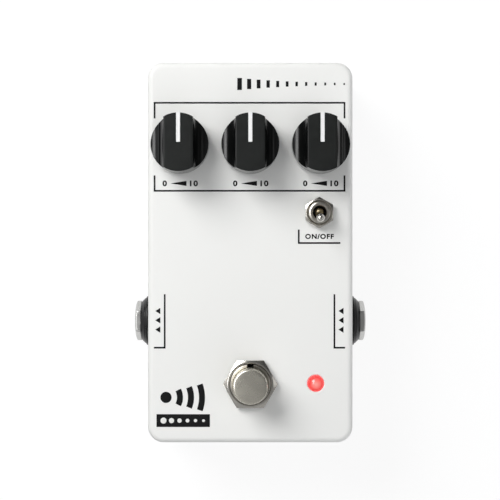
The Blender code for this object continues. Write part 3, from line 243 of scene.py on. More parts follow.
BADGE_DOT_PITCH = 8.0
BADGE_DOT_RADIUS = 3.0
BADGE_DOT_SHRINK = 0.86

# Floor; ranges here and below are the lowest and highest results, then where the range starts and ends
FLOOR_RADIUS = 1.6
FLOOR_STEPS = 64
FLOOR_DROP = 0.00005
FLOOR_SEEN_GREY = (0.16, 0.16, 0.16, 1)
FLOOR_SEEN_GLOW = 0.87
# Bounce colour of the floor: dark on the left and back as painted shade, pale towards this side
FLOOR_PALE_SIDE = (0.9, -0.4, 0)
FLOOR_PAINTED_SHADE = (0.2, 0.92, -0.06, 0.06)
FLOOR_FADE = (0, 1, 0.18, 0.55)

# Light: the world's two soft sides and the tent's dark one each have a direction and a range
WORLD_COLOUR = (0.97, 0.98, 1.0, 1)
WORLD_OVERHEAD = ((-0.2, 0.25, 0.95), (0.05, 0.30, 0, 1))
WORLD_FRONT = ((0.66, -0.66, 0.36), (0, 1.0, 0.35, 1))
TENT_RADIUS = 1.2
TENT_REACH = 68
TENT_DARK_SIDE = ((0.60, 0.40, 0.69), (0.45, 0.06, 0.35 * TENT_RADIUS, TENT_RADIUS))
FLAG_RADIUS = 0.40
FLAG_HEIGHT = 0.13
LIGHT_TARGET = Vector((0, 0, 0.035))
KEY_PLACE = Vector((-0.35, 0.35, 0.47))
KEY_SIZE = 0.39
KEY_POWER = 3.82

# Round panels that only show in gloss: direction, half angle in degrees and radiance
GLOSS_DISTANCE = 0.6
GLOSS_LIGHTS = {
    "left_gloss": ((-0.574, 0.0, 0.819), 12.5, 4.4),
    "right_gloss": ((0.80, -0.05, 0.60), 11, 0.9),
}

# Steps round a circle and a corner, and angles in degrees
ROUND_STEPS = 96
SMALL_ROUND_STEPS = 48
CONE_STEPS = 24
CORNER_STEPS = 14
FILLET_STEPS = 10
SOFT_STEPS = 4
THREAD_ROWS = 9
SIDE_STEPS = 8
NEARLY_STRAIGHT = 165
NEARLY_FLAT = 0.5
BEVEL_ANGLE = 32
SHARP_ANGLE = 34

NUT_FACE_SHARE = 0.96
NUT_SLOPE = 0.5
NUT_EDGE = 0.00008
NUT_CORNER_CUT = 0.0002
CORNER_ROOM = 2.05
INNER_DROP_SHARE = 0.85
WELD_DISTANCE = SEAT_GAP / 1000
CORNER_SIGNS = ((1, 1), (-1, 1), (-1, -1), (1, -1))
SIDES = ("left", "middle", "right")

FACE_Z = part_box("enclosure_shell")[1].z

# Finishes of the inner solids and small fasteners that keep their own shape
NODE_FINISHES = {
    "nickel": ("pot_nut", "pot_washer", "footswitch_inner_nut"),
    "steel": ("pot_housing", "pot_shaft", "toggle_lock_washer", "footswitch_lock_washer"),
    "brass": ("input_jack_contact", "output_jack_contact"),
    "blue": ("toggle_housing", "footswitch_housing"),
    "black": ("led_spacer", "delay_chip", "audio_chip", "filter_capacitor", "output_capacitor"),
    "board": ("main_board", "footswitch_board"),
    "ribbon": ("ribbon_cable",),
}


# Camera


def make_camera():
    camera = bpy.data.cameras.new("camera")
    camera.lens = LENS
    camera.sensor_width = SENSOR_WIDTH
    camera.clip_start = CLIP_START
    view = bpy.data.objects.new("camera", camera)
    view.location = CAMERA_PLACE
    bpy.context.scene.collection.objects.link(view)
    bpy.context.scene.camera = view


def on_face(x_pixel, y_pixel):
    """Place on the face that shows at a pixel of the photograph."""
    distance = CAMERA_PLACE.z - FACE_Z
    pixel = distance * SENSOR_WIDTH / LENS / IMAGE_PIXELS
    middle = IMAGE_PIXELS / 2
    return CAMERA_PLACE.x + (x_pixel - middle) * pixel, CAMERA_PLACE.y - (y_pixel - middle) * pixel


def pixels(count):
    """Length on the face that so many pixels of the photograph show."""
    return on_face(count, 0)[0] - on_face(0, 0)[0]


# Materials


def linear(*channels):
    """Linear colour from 8-bit sRGB channels."""
    shares = [channel / 255 for channel in channels]
    return tuple(s / 12.92 if s < 0.04045 else ((s + 0.055) / 1.055) ** 2.4 for s in shares)


class Graph:
    """Node tree of a material or world, built up by its methods."""

    def __init__(self, owner, keep=False):
        owner.use_nodes = True
        self.tree = owner.node_tree
        if not keep:
            self.tree.nodes.clear()

    def node(self, kind, **values):
        """New node; each value goes to the socket of its name, or else to the node itself."""
        made = self.tree.nodes.new(kind)
        for name, value in values.items():
            socket = name.replace("_", " ")
            if socket in made.inputs:
                made.inputs[socket].default_value = value
            else:
                setattr(made, name, value)
        return made

    def join(self, output, socket):
        self.tree.links.new(output, socket)

    def fed(self, made, *outputs):
        """First output of a node whose first sockets are fed."""
        for index, output in enumerate(outputs):
            self.join(output, made.inputs[index])
        return made.outputs[0]

    def place(self, output="Object"):
        return self.node("ShaderNodeTexCoord").outputs[output]

    def spread(self, value, low, high, start=0.3, end=0.7, **values):
        """A value mapped to a range."""
        ends = {"From_Min": start, "From_Max": end, "To_Min": low, "To_Max": high}
        return self.fed(self.node("ShaderNodeMapRange", **ends, **values), value)

    def sided(self, place, towards, numbers):
        """A range spread over the distance of a place in a direction."""
        side = self.node("ShaderNodeVectorMath", operation="DOT_PRODUCT")
        side.inputs[1].default_value = towards
        self.join(place, side.inputs[0])
        return self.spread(side.outputs["Value"], *numbers)

    def length(self, vector):
        made = self.node("ShaderNodeVectorMath", operation="LENGTH")
        self.join(vector, made.inputs[0])
        return made.outputs["Value"]

    def total(self, first, second, operation="ADD"):
        return self.fed(self.node("ShaderNodeMath", operation=operation), first, second)

    def mixed(self, share, first, second):
        return self.fed(self.node("ShaderNodeMixShader"), share, first, second)

    def seen(self):
        """1 for camera, glossy and transmission rays, 0 for the rest."""
        paths = self.node("ShaderNodeLightPath").outputs
        result = paths["Is Camera Ray"]
        for name in ("Is Glossy Ray", "Is Transmission Ray"):
            result = self.total(result, paths[name], "MAXIMUM")
        return result

    def show(self, shader, kind="ShaderNodeOutputMaterial"):
        self.join(shader, self.node(kind).inputs["Surface"])


class Finish(Graph):
    """Material with a Principled shader."""

    def __init__(self, name, colour, roughness, **sockets):
        self.material = bpy.data.materials.new(name)
        super().__init__(self.material, keep=True)
        self.shader = self.tree.nodes["Principled BSDF"]
        self.colour = colour
        self.shader.inputs["Base Color"].default_value = (*colour, 1)
        self.shader.inputs["Roughness"].default_value = roughness
        for socket, value in sockets.items():
            self.shader.inputs[socket.replace("_", " ")].default_value = value
        self.here = self.place()

    def noise(self, size, detail=2.0):
        """Noise whose blotches are about so many metres across."""
        made = self.node("ShaderNodeTexNoise", Scale=1 / size, Detail=detail)
        self.join(self.here, made.inputs["Vector"])
        return made.outputs["Fac"]

    def ramp(self, value, socket, first, second, start=0.3, end=0.7):
        """Colour of a socket that runs from one colour to another with a value."""
        ramp = self.node("ShaderNodeValToRGB")
        for element, place, colour in zip(ramp.color_ramp.elements, (start, end), (first, second)):
            element.position = place
            element.color = (*colour, 1)
        self.join(self.fed(ramp, value), self.shader.inputs[socket])

    def rough(self, value, low, high):
        self.join(self.spread(value, low, high), self.shader.inputs["Roughness"])

    def mottle(self, size, amount, rough_low, rough_high):
        """Faint change of colour and gloss in blotches of a size."""
        value = self.noise(size, 3.0)
        darker = tuple(channel * (1 - amount) for channel in self.colour)
        lighter = tuple(min(1.0, channel * (1 + amount)) for channel in self.colour)
        self.ramp(value, "Base Color", darker, lighter)
        self.rough(value, rough_low, rough_high)

    def relief(self, height, depth):
        """Bump of a real depth in metres, on top of any bump before it."""
        bump = self.node("ShaderNodeBump", Distance=depth)
        self.join(height, bump.inputs["Height"])
        normal = self.shader.inputs["Normal"]
        if normal.links:
            self.join(normal.links[0].from_socket, bump.inputs["Normal"])
        self.join(bump.outputs["Normal"], normal)

    def turned(self, pitch, depth):
        """Fine uneven rings about the piece's own Z axis, as a lathe leaves them on top and side."""
        along = self.total(self.from_axis(), self.split().outputs["Z"])
        rings = self.node("ShaderNodeTexNoise", noise_dimensions="1D", Scale=1 / pitch, Detail=2.0)
        self.join(along, rings.inputs["W"])
        self.relief(rings.outputs["Fac"], depth)

    def split(self):
        split = self.node("ShaderNodeSeparateXYZ")
        self.join(self.here, split.inputs["Vector"])
        return split

    def from_axis(self):
        """Distance from the piece's own Z axis."""
        split = self.split().outputs
        flat = self.node("ShaderNodeCombineXYZ")
        return self.length(self.fed(flat, split["X"], split["Y"]))


def coat(name, colour, roughness, mottle, relief=None, rings=None, **sockets):
    """Material from the numbers of its mottle, of its relief (size, detail, depth) and of its rings."""
    finish = Finish(name, colour, roughness, **sockets)
    finish.mottle(*mottle)
    if relief:
        finish.relief(finish.noise(*relief[:2]), relief[2])
    if rings:
        finish.turned(*rings)
    return finish.material


def plated(name, colour, low, high, rings=None):
    """Bright plating with faint clouding, hairlines and, where it is turned, lathe rings."""
    mottle, relief = (0.0030, 0.025, low, high), (0.0009, 2.0, 0.0000008)
    return coat(name, colour, (low + high) / 2, mottle, relief, rings, Metallic=1.0)


def soft_plastic(name, colour, low, high, grain=0.0003, depth=0.000004):
    return coat(name, colour, (low + high) / 2, (0.0018, 0.10, low, high), (grain, 3.0, depth))


def lamp_lens():
    """Lit red epoxy, palest over the chip on its axis and deep red at its side."""
    finish = Finish("lamp_lens", linear(246, 60, 56), 0.05, IOR=1.5, Specular_IOR_Level=0.8)
    share = finish.spread(finish.from_axis(), 0.0, 1.0, 0.0, LED_RADIUS)
    finish.ramp(share, "Emission Color", linear(196, 122, 116), linear(194, 32, 30), 0.0, 0.8)
    finish.shader.inputs["Emission Strength"].default_value = 1.0
    # The base colour too is palest over the chip: painted glow of the lit chip
    finish.ramp(share, "Base Color", linear(188, 120, 112), linear(204, 34, 34), 0.1, 0.86)
    finish.relief(finish.noise(0.001), 0.000003)
    return finish.material


def board_green():
    """Solder mask over a faint web of traces."""
    finish = Finish("board_green", linear(16, 92, 54), 0.4)
    traces = finish.node("ShaderNodeTexBrick", Scale=90.0, Mortar_Size=0.012)
    colours = {"Color1": (14, 84, 50), "Color2": (18, 98, 58), "Mortar": (46, 138, 84)}
    for socket, colour in colours.items():
        traces.inputs[socket].default_value = (*linear(*colour), 1)
    finish.join(finish.here, traces.inputs["Vector"])
    finish.join(traces.outputs["Color"], finish.shader.inputs["Base Color"])
    finish.relief(traces.outputs["Fac"], 0.00003)
    finish.rough(finish.noise(0.003), 0.34, 0.46)
    return finish.material


def ribbon_grey():
    """Sheath with a groove between each wire and the next, painted darker in each groove as painted shade.
    """
    finish = Finish("ribbon_grey", linear(138, 140, 143), 0.5)
    wires = finish.node("ShaderNodeTexWave", Scale=1 / (RIBBON_PITCH * WAVE_TURN))
    finish.join(finish.here, wires.inputs["Vector"])
    # Darker in the grooves: painted shade
    finish.ramp(wires.outputs["Fac"], "Base Color", linear(112, 114, 118), linear(148, 150, 152))
    finish.relief(wires.outputs["Fac"], 0.0002)
    return finish.material


def make_materials():
    white, black, nickel = linear(244, 244, 241), linear(9, 9, 10), linear(196, 193, 186)
    fine_rings = (0.00014, 0.0000008)
    return {
        "paint": coat(
            "white_powder_coat", white, 0.6, mottle=(0.030, 0.006, 0.56, 0.64),
            relief=(0.00055, 3.0, 0.0000035), Specular_IOR_Level=0.25,
        ),
        "ink": coat("black_ink", black, 0.6, mottle=(0.0006, 0.15, 0.55, 0.66), Specular_IOR_Level=0.18),
        "white_ink": coat("white_ink", linear(236, 236, 233), 0.4, mottle=(0.0006, 0.01, 0.35, 0.45)),
        "knob_gloss": coat(
            "knob_gloss", linear(12, 13, 13), 0.16, mottle=(0.004, 0.12, 0.13, 0.2),
            relief=(0.0007, 2.0, 0.000002),
        ),
        "knob_matt": coat(
            "knob_matt", linear(25, 27, 26), 0.45, mottle=(0.0025, 0.1, 0.4, 0.5),
            relief=(0.00018, 4.0, 0.00001), Specular_IOR_Level=0.22,
        ),
        "pointer": coat(
            "pointer_white", linear(244, 244, 243), 0.42, mottle=(0.002, 0.01, 0.38, 0.48),
            relief=(0.0003, 2.0, 0.000002),
        ),
        "nickel": plated("nickel_plate", nickel, 0.16, 0.26),
        "turned_nickel": plated("turned_nickel", linear(214, 210, 198), 0.25, 0.29, fine_rings),
        "jack_nickel": plated("jack_nickel", linear(196, 196, 194), 0.26, 0.32, (0.00014, 0.0000025)),
        "chrome": plated("chrome_lever", linear(210, 208, 203), 0.06, 0.14),
        "lever_brass": plated("lever_brass", linear(168, 156, 128), 0.3, 0.42, (0.0002, 0.0000012)),
        "thread": plated("thread_steel", linear(176, 172, 164), 0.24, 0.38),
        "steel": plated("zinc_steel", linear(168, 167, 165), 0.3, 0.45),
        # Flat black for the footswitch's keyway: painted shade, where the metal slot only falls dark
        "shadow": soft_plastic("painted_shade_slot", black, 0.7, 0.85),
        "brass": plated("contact_brass", linear(206, 176, 110), 0.22, 0.34),
        "rubber": soft_plastic("foot_rubber", linear(30, 30, 30), 0.68, 0.84, 0.00035, 0.00002),
        "lens": lamp_lens(),
        "blue": soft_plastic("switch_blue", linear(34, 82, 158), 0.36, 0.5),
        "black": soft_plastic("moulded_black", linear(30, 30, 31), 0.34, 0.48),
        "turned_black": coat(
            "turned_black", linear(18, 18, 19), 0.3, mottle=(0.002, 0.15, 0.26, 0.36),
            rings=(0.00022, 0.000004), Specular_IOR_Level=0.35,
        ),
        "board": board_green(),
        "ribbon": ribbon_grey(),
    }


MATERIALS = make_materials()


# Shapes


def soften(points, cut, closed=False, steps=SOFT_STEPS):
    """Outline with an arc in place of each corner, starting a distance before it.

    A point may carry its own distance as a third value.
    """
    result = []
    count = len(points)
    for index, (x, y, *own) in enumerate(points):
        here = Vector((x, y))
        inner = closed or 0 < index < count - 1
        before = Vector(points[index - 1][:2])
        after = Vector(points[(index + 1) % count][:2])
        reach = own[0] if own else cut
        if not inner or reach == 0:
            result.append(here)
            continue
        back, ahead = before - here, after - here
        if back.angle(ahead, pi) > radians(NEARLY_STRAIGHT):
            result.append(here)
            continue
        distance = min(reach, back.length / CORNER_ROOM, ahead.length / CORNER_ROOM)
        start = here + back.normalized() * distance
        end = here + ahead.normalized() * distance
        for step in range(steps + 1):
            share = step / steps
            first = start.lerp(here, share)
            result.append(first.lerp(here.lerp(end, share), share))
    return result


def quarter(steps):
    """Points of a unit quarter circle."""
    angles = [pi / 2 * step / steps for step in range(steps + 1)]
    return [(cos(angle), sin(angle)) for angle in angles]


def full_turn(steps):
    return [2 * pi * step / steps for step in range(steps)]


def circle(radius, height, steps):
    if radius < WELD_DISTANCE:
        return [(0, 0, height)]
    return [(radius * cos(angle), radius * sin(angle), height) for angle in full_turn(steps)]


def add_skin(shape, rings, closed=False, ends=True):
    """Body through rings of points, closed at its ends; a ring of one point is a pole."""
    rows = [[shape.verts.new(point) for point in ring] for ring in rings]
    pairs = list(zip(rows, rows[1:]))
    if closed:
        pairs.append((rows[-1], rows[0]))
    elif ends:
        for end in (rows[0], rows[-1]):
            if len(end) > 2:
                shape.faces.new(end)
    for low, high in pairs:
        count = max(len(low), len(high))
        for index in range(count):
            after = (index + 1) % count
            corners = (
                low[index % len(low)], low[after % len(low)], high[after % len(high)],
                high[index % len(high)],
            )
            shape.faces.new(dict.fromkeys(corners))
    return shape


def turned(profile, soft=0.0, closed=False, steps=ROUND_STEPS):
    """Body turned about Z from (radius, height) points with softened corners."""
    points = soften(profile, soft, closed)
    return add_skin(bmesh.new(), [circle(radius, height, steps) for radius, height in points], closed)


def block(low, high):
    low, high = Vector(low), Vector(high)
    size = Matrix.Diagonal((*(high - low), 1))
    shape = bmesh.new()
    bmesh.ops.create_cube(shape, size=1, matrix=Matrix.Translation((low + high) / 2) @ size)
    return shape


def prism(outline, low, high, along="z"):
    """Outline extruded along an axis; its points are the two other coordinates in order."""
    spot = {
        "x": lambda a,
        b,
        c: (c, a, b),
        "y": lambda a,
        b,
        c: (a, c, b),
        "z": lambda a,
        b,
        c: (a, b, c),
    }
    rings = [[spot[along](a, b, level) for a, b in outline] for level in (low, high)]
    return add_skin(bmesh.new(), rings)


def moved(shape, place, turn=None):
    if turn:
        bmesh.ops.rotate(shape, verts=shape.verts, matrix=turn)
    bmesh.ops.translate(shape, verts=shape.verts, vec=place)
    return shape


def merged(*shapes):
    """One mesh of several separate bodies."""
    result = bmesh.new()
    for shape in shapes:
        mesh = bpy.data.meshes.new("part")
        shape.to_mesh(mesh)
        shape.free()
        result.from_mesh(mesh)
        bpy.data.meshes.remove(mesh)
    return result


def new_object(name, shape):
    """Object in the scene with a body's mesh; the body is used up."""
    mesh = bpy.data.meshes.new(name)
    shape.to_mesh(mesh)
    shape.free()
    item = bpy.data.objects.new(name, mesh)
    bpy.context.scene.collection.objects.link(item)
    return item


def boolean(shape, tool, operation="DIFFERENCE"):
    """The first body with the second cut from it, joined to it or shared with it."""
    for body in (shape, tool):
        bmesh.ops.recalc_face_normals(body, faces=body.faces)
    first, second = new_object("first", shape), new_object("second", tool)
    modifier = first.modifiers.new("cut", "BOOLEAN")
    modifier.operation = operation
    modifier.solver = "EXACT"
    modifier.object = second
    made = bpy.data.meshes.new_from_object(first.evaluated_get(bpy.context.evaluated_depsgraph_get()))
    result = bmesh.new()
    result.from_mesh(made)
    for item in (first, second):
        mesh = item.data
        bpy.data.objects.remove(item)
        bpy.data.meshes.remove(mesh)
    bpy.data.meshes.remove(made)
    return result


def bevelled(shape, width, segments=2):
    """The body with its sharp edges rounded."""
    bmesh.ops.dissolve_limit(
        shape, angle_limit=radians(NEARLY_FLAT), verts=shape.verts, edges=shape.edges,
    )
    limit = radians(BEVEL_ANGLE)
    edges = [e for e in shape.edges if len(e.link_faces) == 2 and e.calc_face_angle(0) > limit]
    bmesh.ops.bevel(
        shape, geom=edges, offset=width, segments=segments, profile=0.5, affect="EDGES",
        clamp_overlap=True,
    )
    return shape


def rounded_rectangle(half_x, half_y, radius, z):
    points = []
    for quarter, (sign_x, sign_y) in enumerate(CORNER_SIGNS):
        for step in range(CORNER_STEPS + 1):
            angle = (quarter + step / CORNER_STEPS) * pi / 2
            x = sign_x * (half_x - radius) + radius * cos(angle)
            y = sign_y * (half_y - radius) + radius * sin(angle)
            points.append((x, y, z))
    return points


def hexagon(flats, first_corner, corner_cut):
    """Hexagon with rounded corners and points along its sides, as (radius, angle) pairs."""
    radius = flats / sqrt(3)
    corners = [first_corner + pi / 3 * corner for corner in range(6)]
    ends = [Vector((radius * cos(angle), radius * sin(angle))) for angle in corners]
    outline = []
    for index, start in enumerate(ends):
        end = ends[(index + 1) % 6]
        outline += [start.lerp(end, step / SIDE_STEPS) for step in range(SIDE_STEPS)]
    return [(point.length, atan2(point.y, point.x)) for point in soften(outline, corner_cut, True)]


def nut(flats, crown, hole, first_corner=0.0, edge=NUT_EDGE):
    """Hexagon nut from height 0 up.

    crown gives the height of its turned top at a radius, and hole lists the (radius, height)
    points of its bore and top face, from the edge of the crown down to height 0.
    """
    outline = hexagon(flats, first_corner, NUT_CORNER_CUT)
    inner = hole[0][0]
    rings = []

    def ring(place):
        made = []
        for radius, angle in outline:
            out, height = place(radius)
            made.append((out * cos(angle), out * sin(angle), height))
        rings.append(made)

    ring(lambda radius: (radius - CUT_EDGE / 2, 0))
    ring(lambda radius: (radius, CUT_EDGE / 2))
    for x, y in quarter(SOFT_STEPS)[:-1]:

        def on_edge(radius, x=x, y=y):
            return radius - edge * (1 - x), crown(radius - edge) - edge * (1 - y)

        ring(on_edge)
    for step in range(SIDE_STEPS + 1):
        share = step / SIDE_STEPS

        def on_crown(radius, share=share):
            out = (radius - edge) * (1 - share) + inner * share
            return out, crown(out)

        ring(on_crown)
    for radius, height in soften(hole, CUT_EDGE / 2)[1:]:
        ring(lambda _, radius=radius, height=height: (radius, height))
    return add_skin(bmesh.new(), rings, closed=True)


def chamfered(flats, thickness):
    """Crown of an ordinary nut: a cone outside a round face."""
    face = flats / 2 * NUT_FACE_SHARE
    return lambda radius: thickness - max(0, radius - face) * NUT_SLOPE


def threaded_rod(radius, low, thread_low, high, pitch, depth, edge, crown):
    """Rod with a helical thread over its upper part.

    crown lists the (radius, height) points over its end, from its side inwards.
    """
    steps = ROUND_STEPS
    rings = [circle(radius, low, steps), circle(radius, thread_low, steps)]
    top = high - edge
    rows = max(2, round((top - thread_low) / pitch * THREAD_ROWS))
    for row in range(1, rows):
        z = thread_low + (top - thread_low) * row / rows
        fade = min(1, (z - thread_low) / pitch * 2)
        ring = []
        for step, angle in enumerate(full_turn(steps)):
            phase = (z / pitch - step / steps) % 1
            out = radius - depth * fade * abs(2 * phase - 1)
            ring.append((out * cos(angle), out * sin(angle), z))
        rings.append(ring)
    for out, height in crown:
        rings.append(circle(out, height, steps))
    return add_skin(bmesh.new(), rings)


def sloped_lip(inner, outer, high, crest_share, drop):
    """Points over the end of a tube, from its outside up to a crest and down to its bore."""
    crest = outer + (inner - outer) * crest_share
    points = [(outer, high - drop), (crest, high), (inner, high - drop * INNER_DROP_SHARE)]
    return [tuple(point) for point in soften(points, (outer - inner) / 5)]


# Pieces


def add_piece(name, shape, node, *looks, body="enclosure", at=(0, 0, 0), turn=(0, 0, 0)):
    """Visible piece with its finishes; one that takes a solid's place hides that solid."""
    bmesh.ops.remove_doubles(shape, verts=shape.verts, dist=WELD_DISTANCE)
    bmesh.ops.recalc_face_normals(shape, faces=shape.faces)
    piece = new_object(name, shape)
    piece.data.shade_smooth()
    piece.data.set_sharp_from_angle(angle=radians(SHARP_ANGLE))
    for look in looks:
        piece.data.materials.append(MATERIALS[look])
    piece.location = at
    piece.rotation_euler = turn
    weights = piece.modifiers.new("even_normals", "WEIGHTED_NORMAL")
    weights.keep_sharp = True
    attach(piece, body)
    if node:
        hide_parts(node)
    return piece


def refinish(piece, chosen):
    """Gives the second finish to the faces that a test chooses."""
    for face in piece.data.polygons:
        if chosen(face):
            face.material_index = 1


def centre(node):
    low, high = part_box(node)
    return (low + high) / 2


def upright(node, height=0):
    """Axis of a turned piece that stands on Z, at a height."""
    middle = centre(node)
    return Vector((middle.x, middle.y, height))


# Enclosure


def soft_hole(radius, low, high, edge):
    """Cutter for a hole whose rim is rounded at the height where it ends."""
    flare = [(radius, low)]
    flare += [(radius + edge * (1 - x), high - edge * (1 - y)) for x, y in quarter(SOFT_STEPS)]
    flare.append((radius + edge, high + OVERRUN))
    return add_skin(bmesh.new(), [circle(out, height, SMALL_ROUND_STEPS) for out, height in flare])


def rod(radius, low, high):
    return add_skin(bmesh.new(), [circle(radius, z, SMALL_ROUND_STEPS) for z in (low, high)])


def face_hole(node, radius):
    ceiling = FACE_Z - WALL - OVERRUN
    return moved(soft_hole(radius, ceiling, FACE_Z, CUT_EDGE), upright(node))


def screw_places():
    return [upright(f"base_screw_{number}") for number in range(1, 5)]


def at_screws(make, *numbers):
    """One mesh of the same body at each of the four screws."""
    return merged(*[moved(make(*numbers), place) for place in screw_places()])


def make_shell():
    low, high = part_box("enclosure_shell")
    ceiling = high.z - WALL

    def loop(inset, z):
        lean = WALL_LEAN * (z - low.z) / (high.z - low.z)
        return rounded_rectangle(high.x - lean - inset, high.y - lean - inset, CORNER_RADIUS - inset, z)

    edge = CUT_EDGE
    levels = [
        (WALL, ceiling), (WALL, low.z), (edge, low.z), (edge / 3, low.z + edge / 3), (0, low.z + edge),
        (0, high.z - FACE_FILLET * 2),
    ]
    levels += [(FACE_FILLET * (1 - x), high.z - FACE_FILLET * (1 - y)) for x, y in quarter(FILLET_STEPS)]
    levels.append((FACE_FILLET * FILLET_END_SHARE, high.z))
    shell = add_skin(bmesh.new(), [loop(inset, z) for inset, z in levels])
    shell = boolean(shell, at_screws(rod, BOSS_RADIUS, low.z + SEAT_GAP, ceiling + WALL / 2), "UNION")
    screw_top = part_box("base_screw_1")[1].z + OVERRUN
    holes = [at_screws(rod, SCREW_RADIUS + SEAT_GAP, low.z - OVERRUN, screw_top)]
    holes += [face_hole(f"pot_nut_{side}", POT_HOLE_RADIUS) for side in SIDES]
    holes.append(face_hole("toggle_nut", TOGGLE_BUSHING_RADIUS + SEAT_GAP))
    holes.append(face_hole("footswitch_nut", FOOTSWITCH_BUSHING_RADIUS + SEAT_GAP))
    holes.append(face_hole("led", LED_RADIUS + LED_HOLE_GAP))
    shell = boolean(shell, merged(*holes))
    jack = centre("input_jack_washer")
    side_hole = rod(JACK_BUSHING_RADIUS + SEAT_GAP, -high.x - OVERRUN, high.x + OVERRUN)
    side_hole = moved(side_hole, (0, jack.y, jack.z), Matrix.Rotation(pi / 2, 3, "Y"))
    start, end = high.y - WALL - OVERRUN * 2, high.y - WALL_LEAN / 2
    back_hole = soft_hole(DC_NOSE_RADIUS + SEAT_GAP / 2, start, end, CUT_EDGE)
    back_hole = moved(back_hole, (0, 0, centre("power_socket_pin").z), Matrix.Rotation(-pi / 2, 3, "X"))
    shell = boolean(shell, merged(side_hole, back_hole))
    add_piece("case_shell", shell, "enclosure_shell", "paint")


def screw_body(low, high, grow=0.0, start=0.0, soft=0.0):
    """Countersunk screw, or a cutter for its seat, which is larger and starts lower."""
    head, shank = SCREW_HEAD_RADIUS + grow, SCREW_RADIUS + grow
    profile = [
        (0, low - start), (head, low - start), (head, low + SEAT_GAP),
        (shank, low + SCREW_HEAD_DEPTH + grow), (shank, high), (0, high),
    ]
    return turned(profile, soft, steps=SMALL_ROUND_STEPS)


def make_base():
    low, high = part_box("base_plate")
    top = low.z + BASE_HEIGHT
    lip = WALL + SEAT_GAP
    pocket = lip + LIP_WIDTH
    edge = CUT_EDGE
    levels = [
        (pocket, low.z + FLOOR_THICKNESS), (pocket, high.z), (lip, high.z), (lip, top), (edge, top),
        (edge / 3, top - edge / 3), (0, top - edge),
    ]
    levels += [(BASE_CHAMFER * inset, low.z + BASE_CHAMFER * rise) for inset, rise in CHAMFER_SHARES]
    plate = [
        rounded_rectangle(high.x - inset, high.y - inset, CORNER_RADIUS - inset, z) for inset, z in levels
    ]
    plate = add_skin(bmesh.new(), plate)
    plate = boolean(plate, at_screws(rod, BOSS_RADIUS, low.z + FLOOR_THICKNESS / 2, top), "UNION")
    plate = boolean(plate, at_screws(rod, BOSS_RADIUS + SEAT_GAP, top - SEAT_GAP / 2, high.z + OVERRUN))
    screw_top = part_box("base_screw_1")[1].z
    plate = boolean(plate, at_screws(screw_body, low.z, screw_top, SEAT_GAP / 3, OVERRUN))
    add_piece("case_base", plate, "base_plate", "paint")


def make_screws():
    long, wide = SCREW_SLOT_LENGTH / 2, SCREW_SLOT_WIDTH / 2
    outer, inner = (wide * share for share in SCREW_CONE_SHARES)
    for number, place in enumerate(screw_places(), start=1):
        low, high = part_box(f"base_screw_{number}")
        screw = screw_body(low.z, high.z, soft=CUT_EDGE / 2)
        bottom, depth = low.z - OVERRUN, low.z + SCREW_SLOT_DEPTH
        for x, y in ((long, wide), (wide, long)):
            screw = boolean(screw, block((-x, -y, bottom), (x, y, depth)))
        cone = turned([(0, bottom), (outer, bottom), (inner, low.z), (0, depth + wide)], steps=CONE_STEPS)
        turn = radians(SCREW_FIRST_TURN + SCREW_NEXT_TURN * number)
        screw = moved(boolean(screw, cone), (0, 0, 0), Matrix.Rotation(turn, 3, "Z"))
        add_piece(f"lid_screw_{number}", screw, f"base_screw_{number}", "steel", at=place)


def make_feet():
    for number in range(1, 5):
        node = f"rubber_foot_{number}"
        low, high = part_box(node)
        radius = (high.x - low.x) / 2
        profile = [(radius * share, low.z + rise, soft) for share, rise, soft in FOOT_BOTTOM]
        profile += [(radius * share, high.z - drop, soft) for share, drop, soft in FOOT_TOP]
        add_piece(f"bumper_foot_{number}", turned(profile), node, "rubber", at=upright(node))


# Knobs


def scoop(sign, radius, rim, top):
    """Cutter beside the bar: down the bar's wall, then a quarter round out to the rim."""
    curve = radius - KNOB_BAR_HALF_WIDTH
    points = [
        (KNOB_BAR_HALF_WIDTH - KNOB_BEVEL_WIDTH, top + OVERRUN),
        (KNOB_BAR_HALF_WIDTH - KNOB_BEVEL_WIDTH, top), (KNOB_BAR_HALF_WIDTH, top - KNOB_BEVEL_DROP),
    ]
    for step in range(SMALL_ROUND_STEPS // 2 + 1):
        angle = pi * step / SMALL_ROUND_STEPS
        points.append((radius - curve * cos(angle), rim + curve * (1 - sin(angle))))
    reach = radius + OVERRUN
    points += [(reach, rim), (reach, top + OVERRUN)]
    return prism([(sign * x, z) for x, z in points], -reach, reach, "y")


def pointer(half, top, grow=0.0, over=0.0):
    """Strip on the bar and down the knob's far wall, or a larger cutter for its groove."""
    depth = POINTER_THICKNESS + grow
    reach = KNOB_TOP_RADIUS
    end = top - POINTER_DROP - grow
    outline = [
        (-grow, top + over), (-grow, top - depth), (reach - depth, top - depth), (reach - depth, end),
        (reach + over, end), (reach + over, top + over),
    ]
    return prism(outline, -half - grow, half + grow, "x")


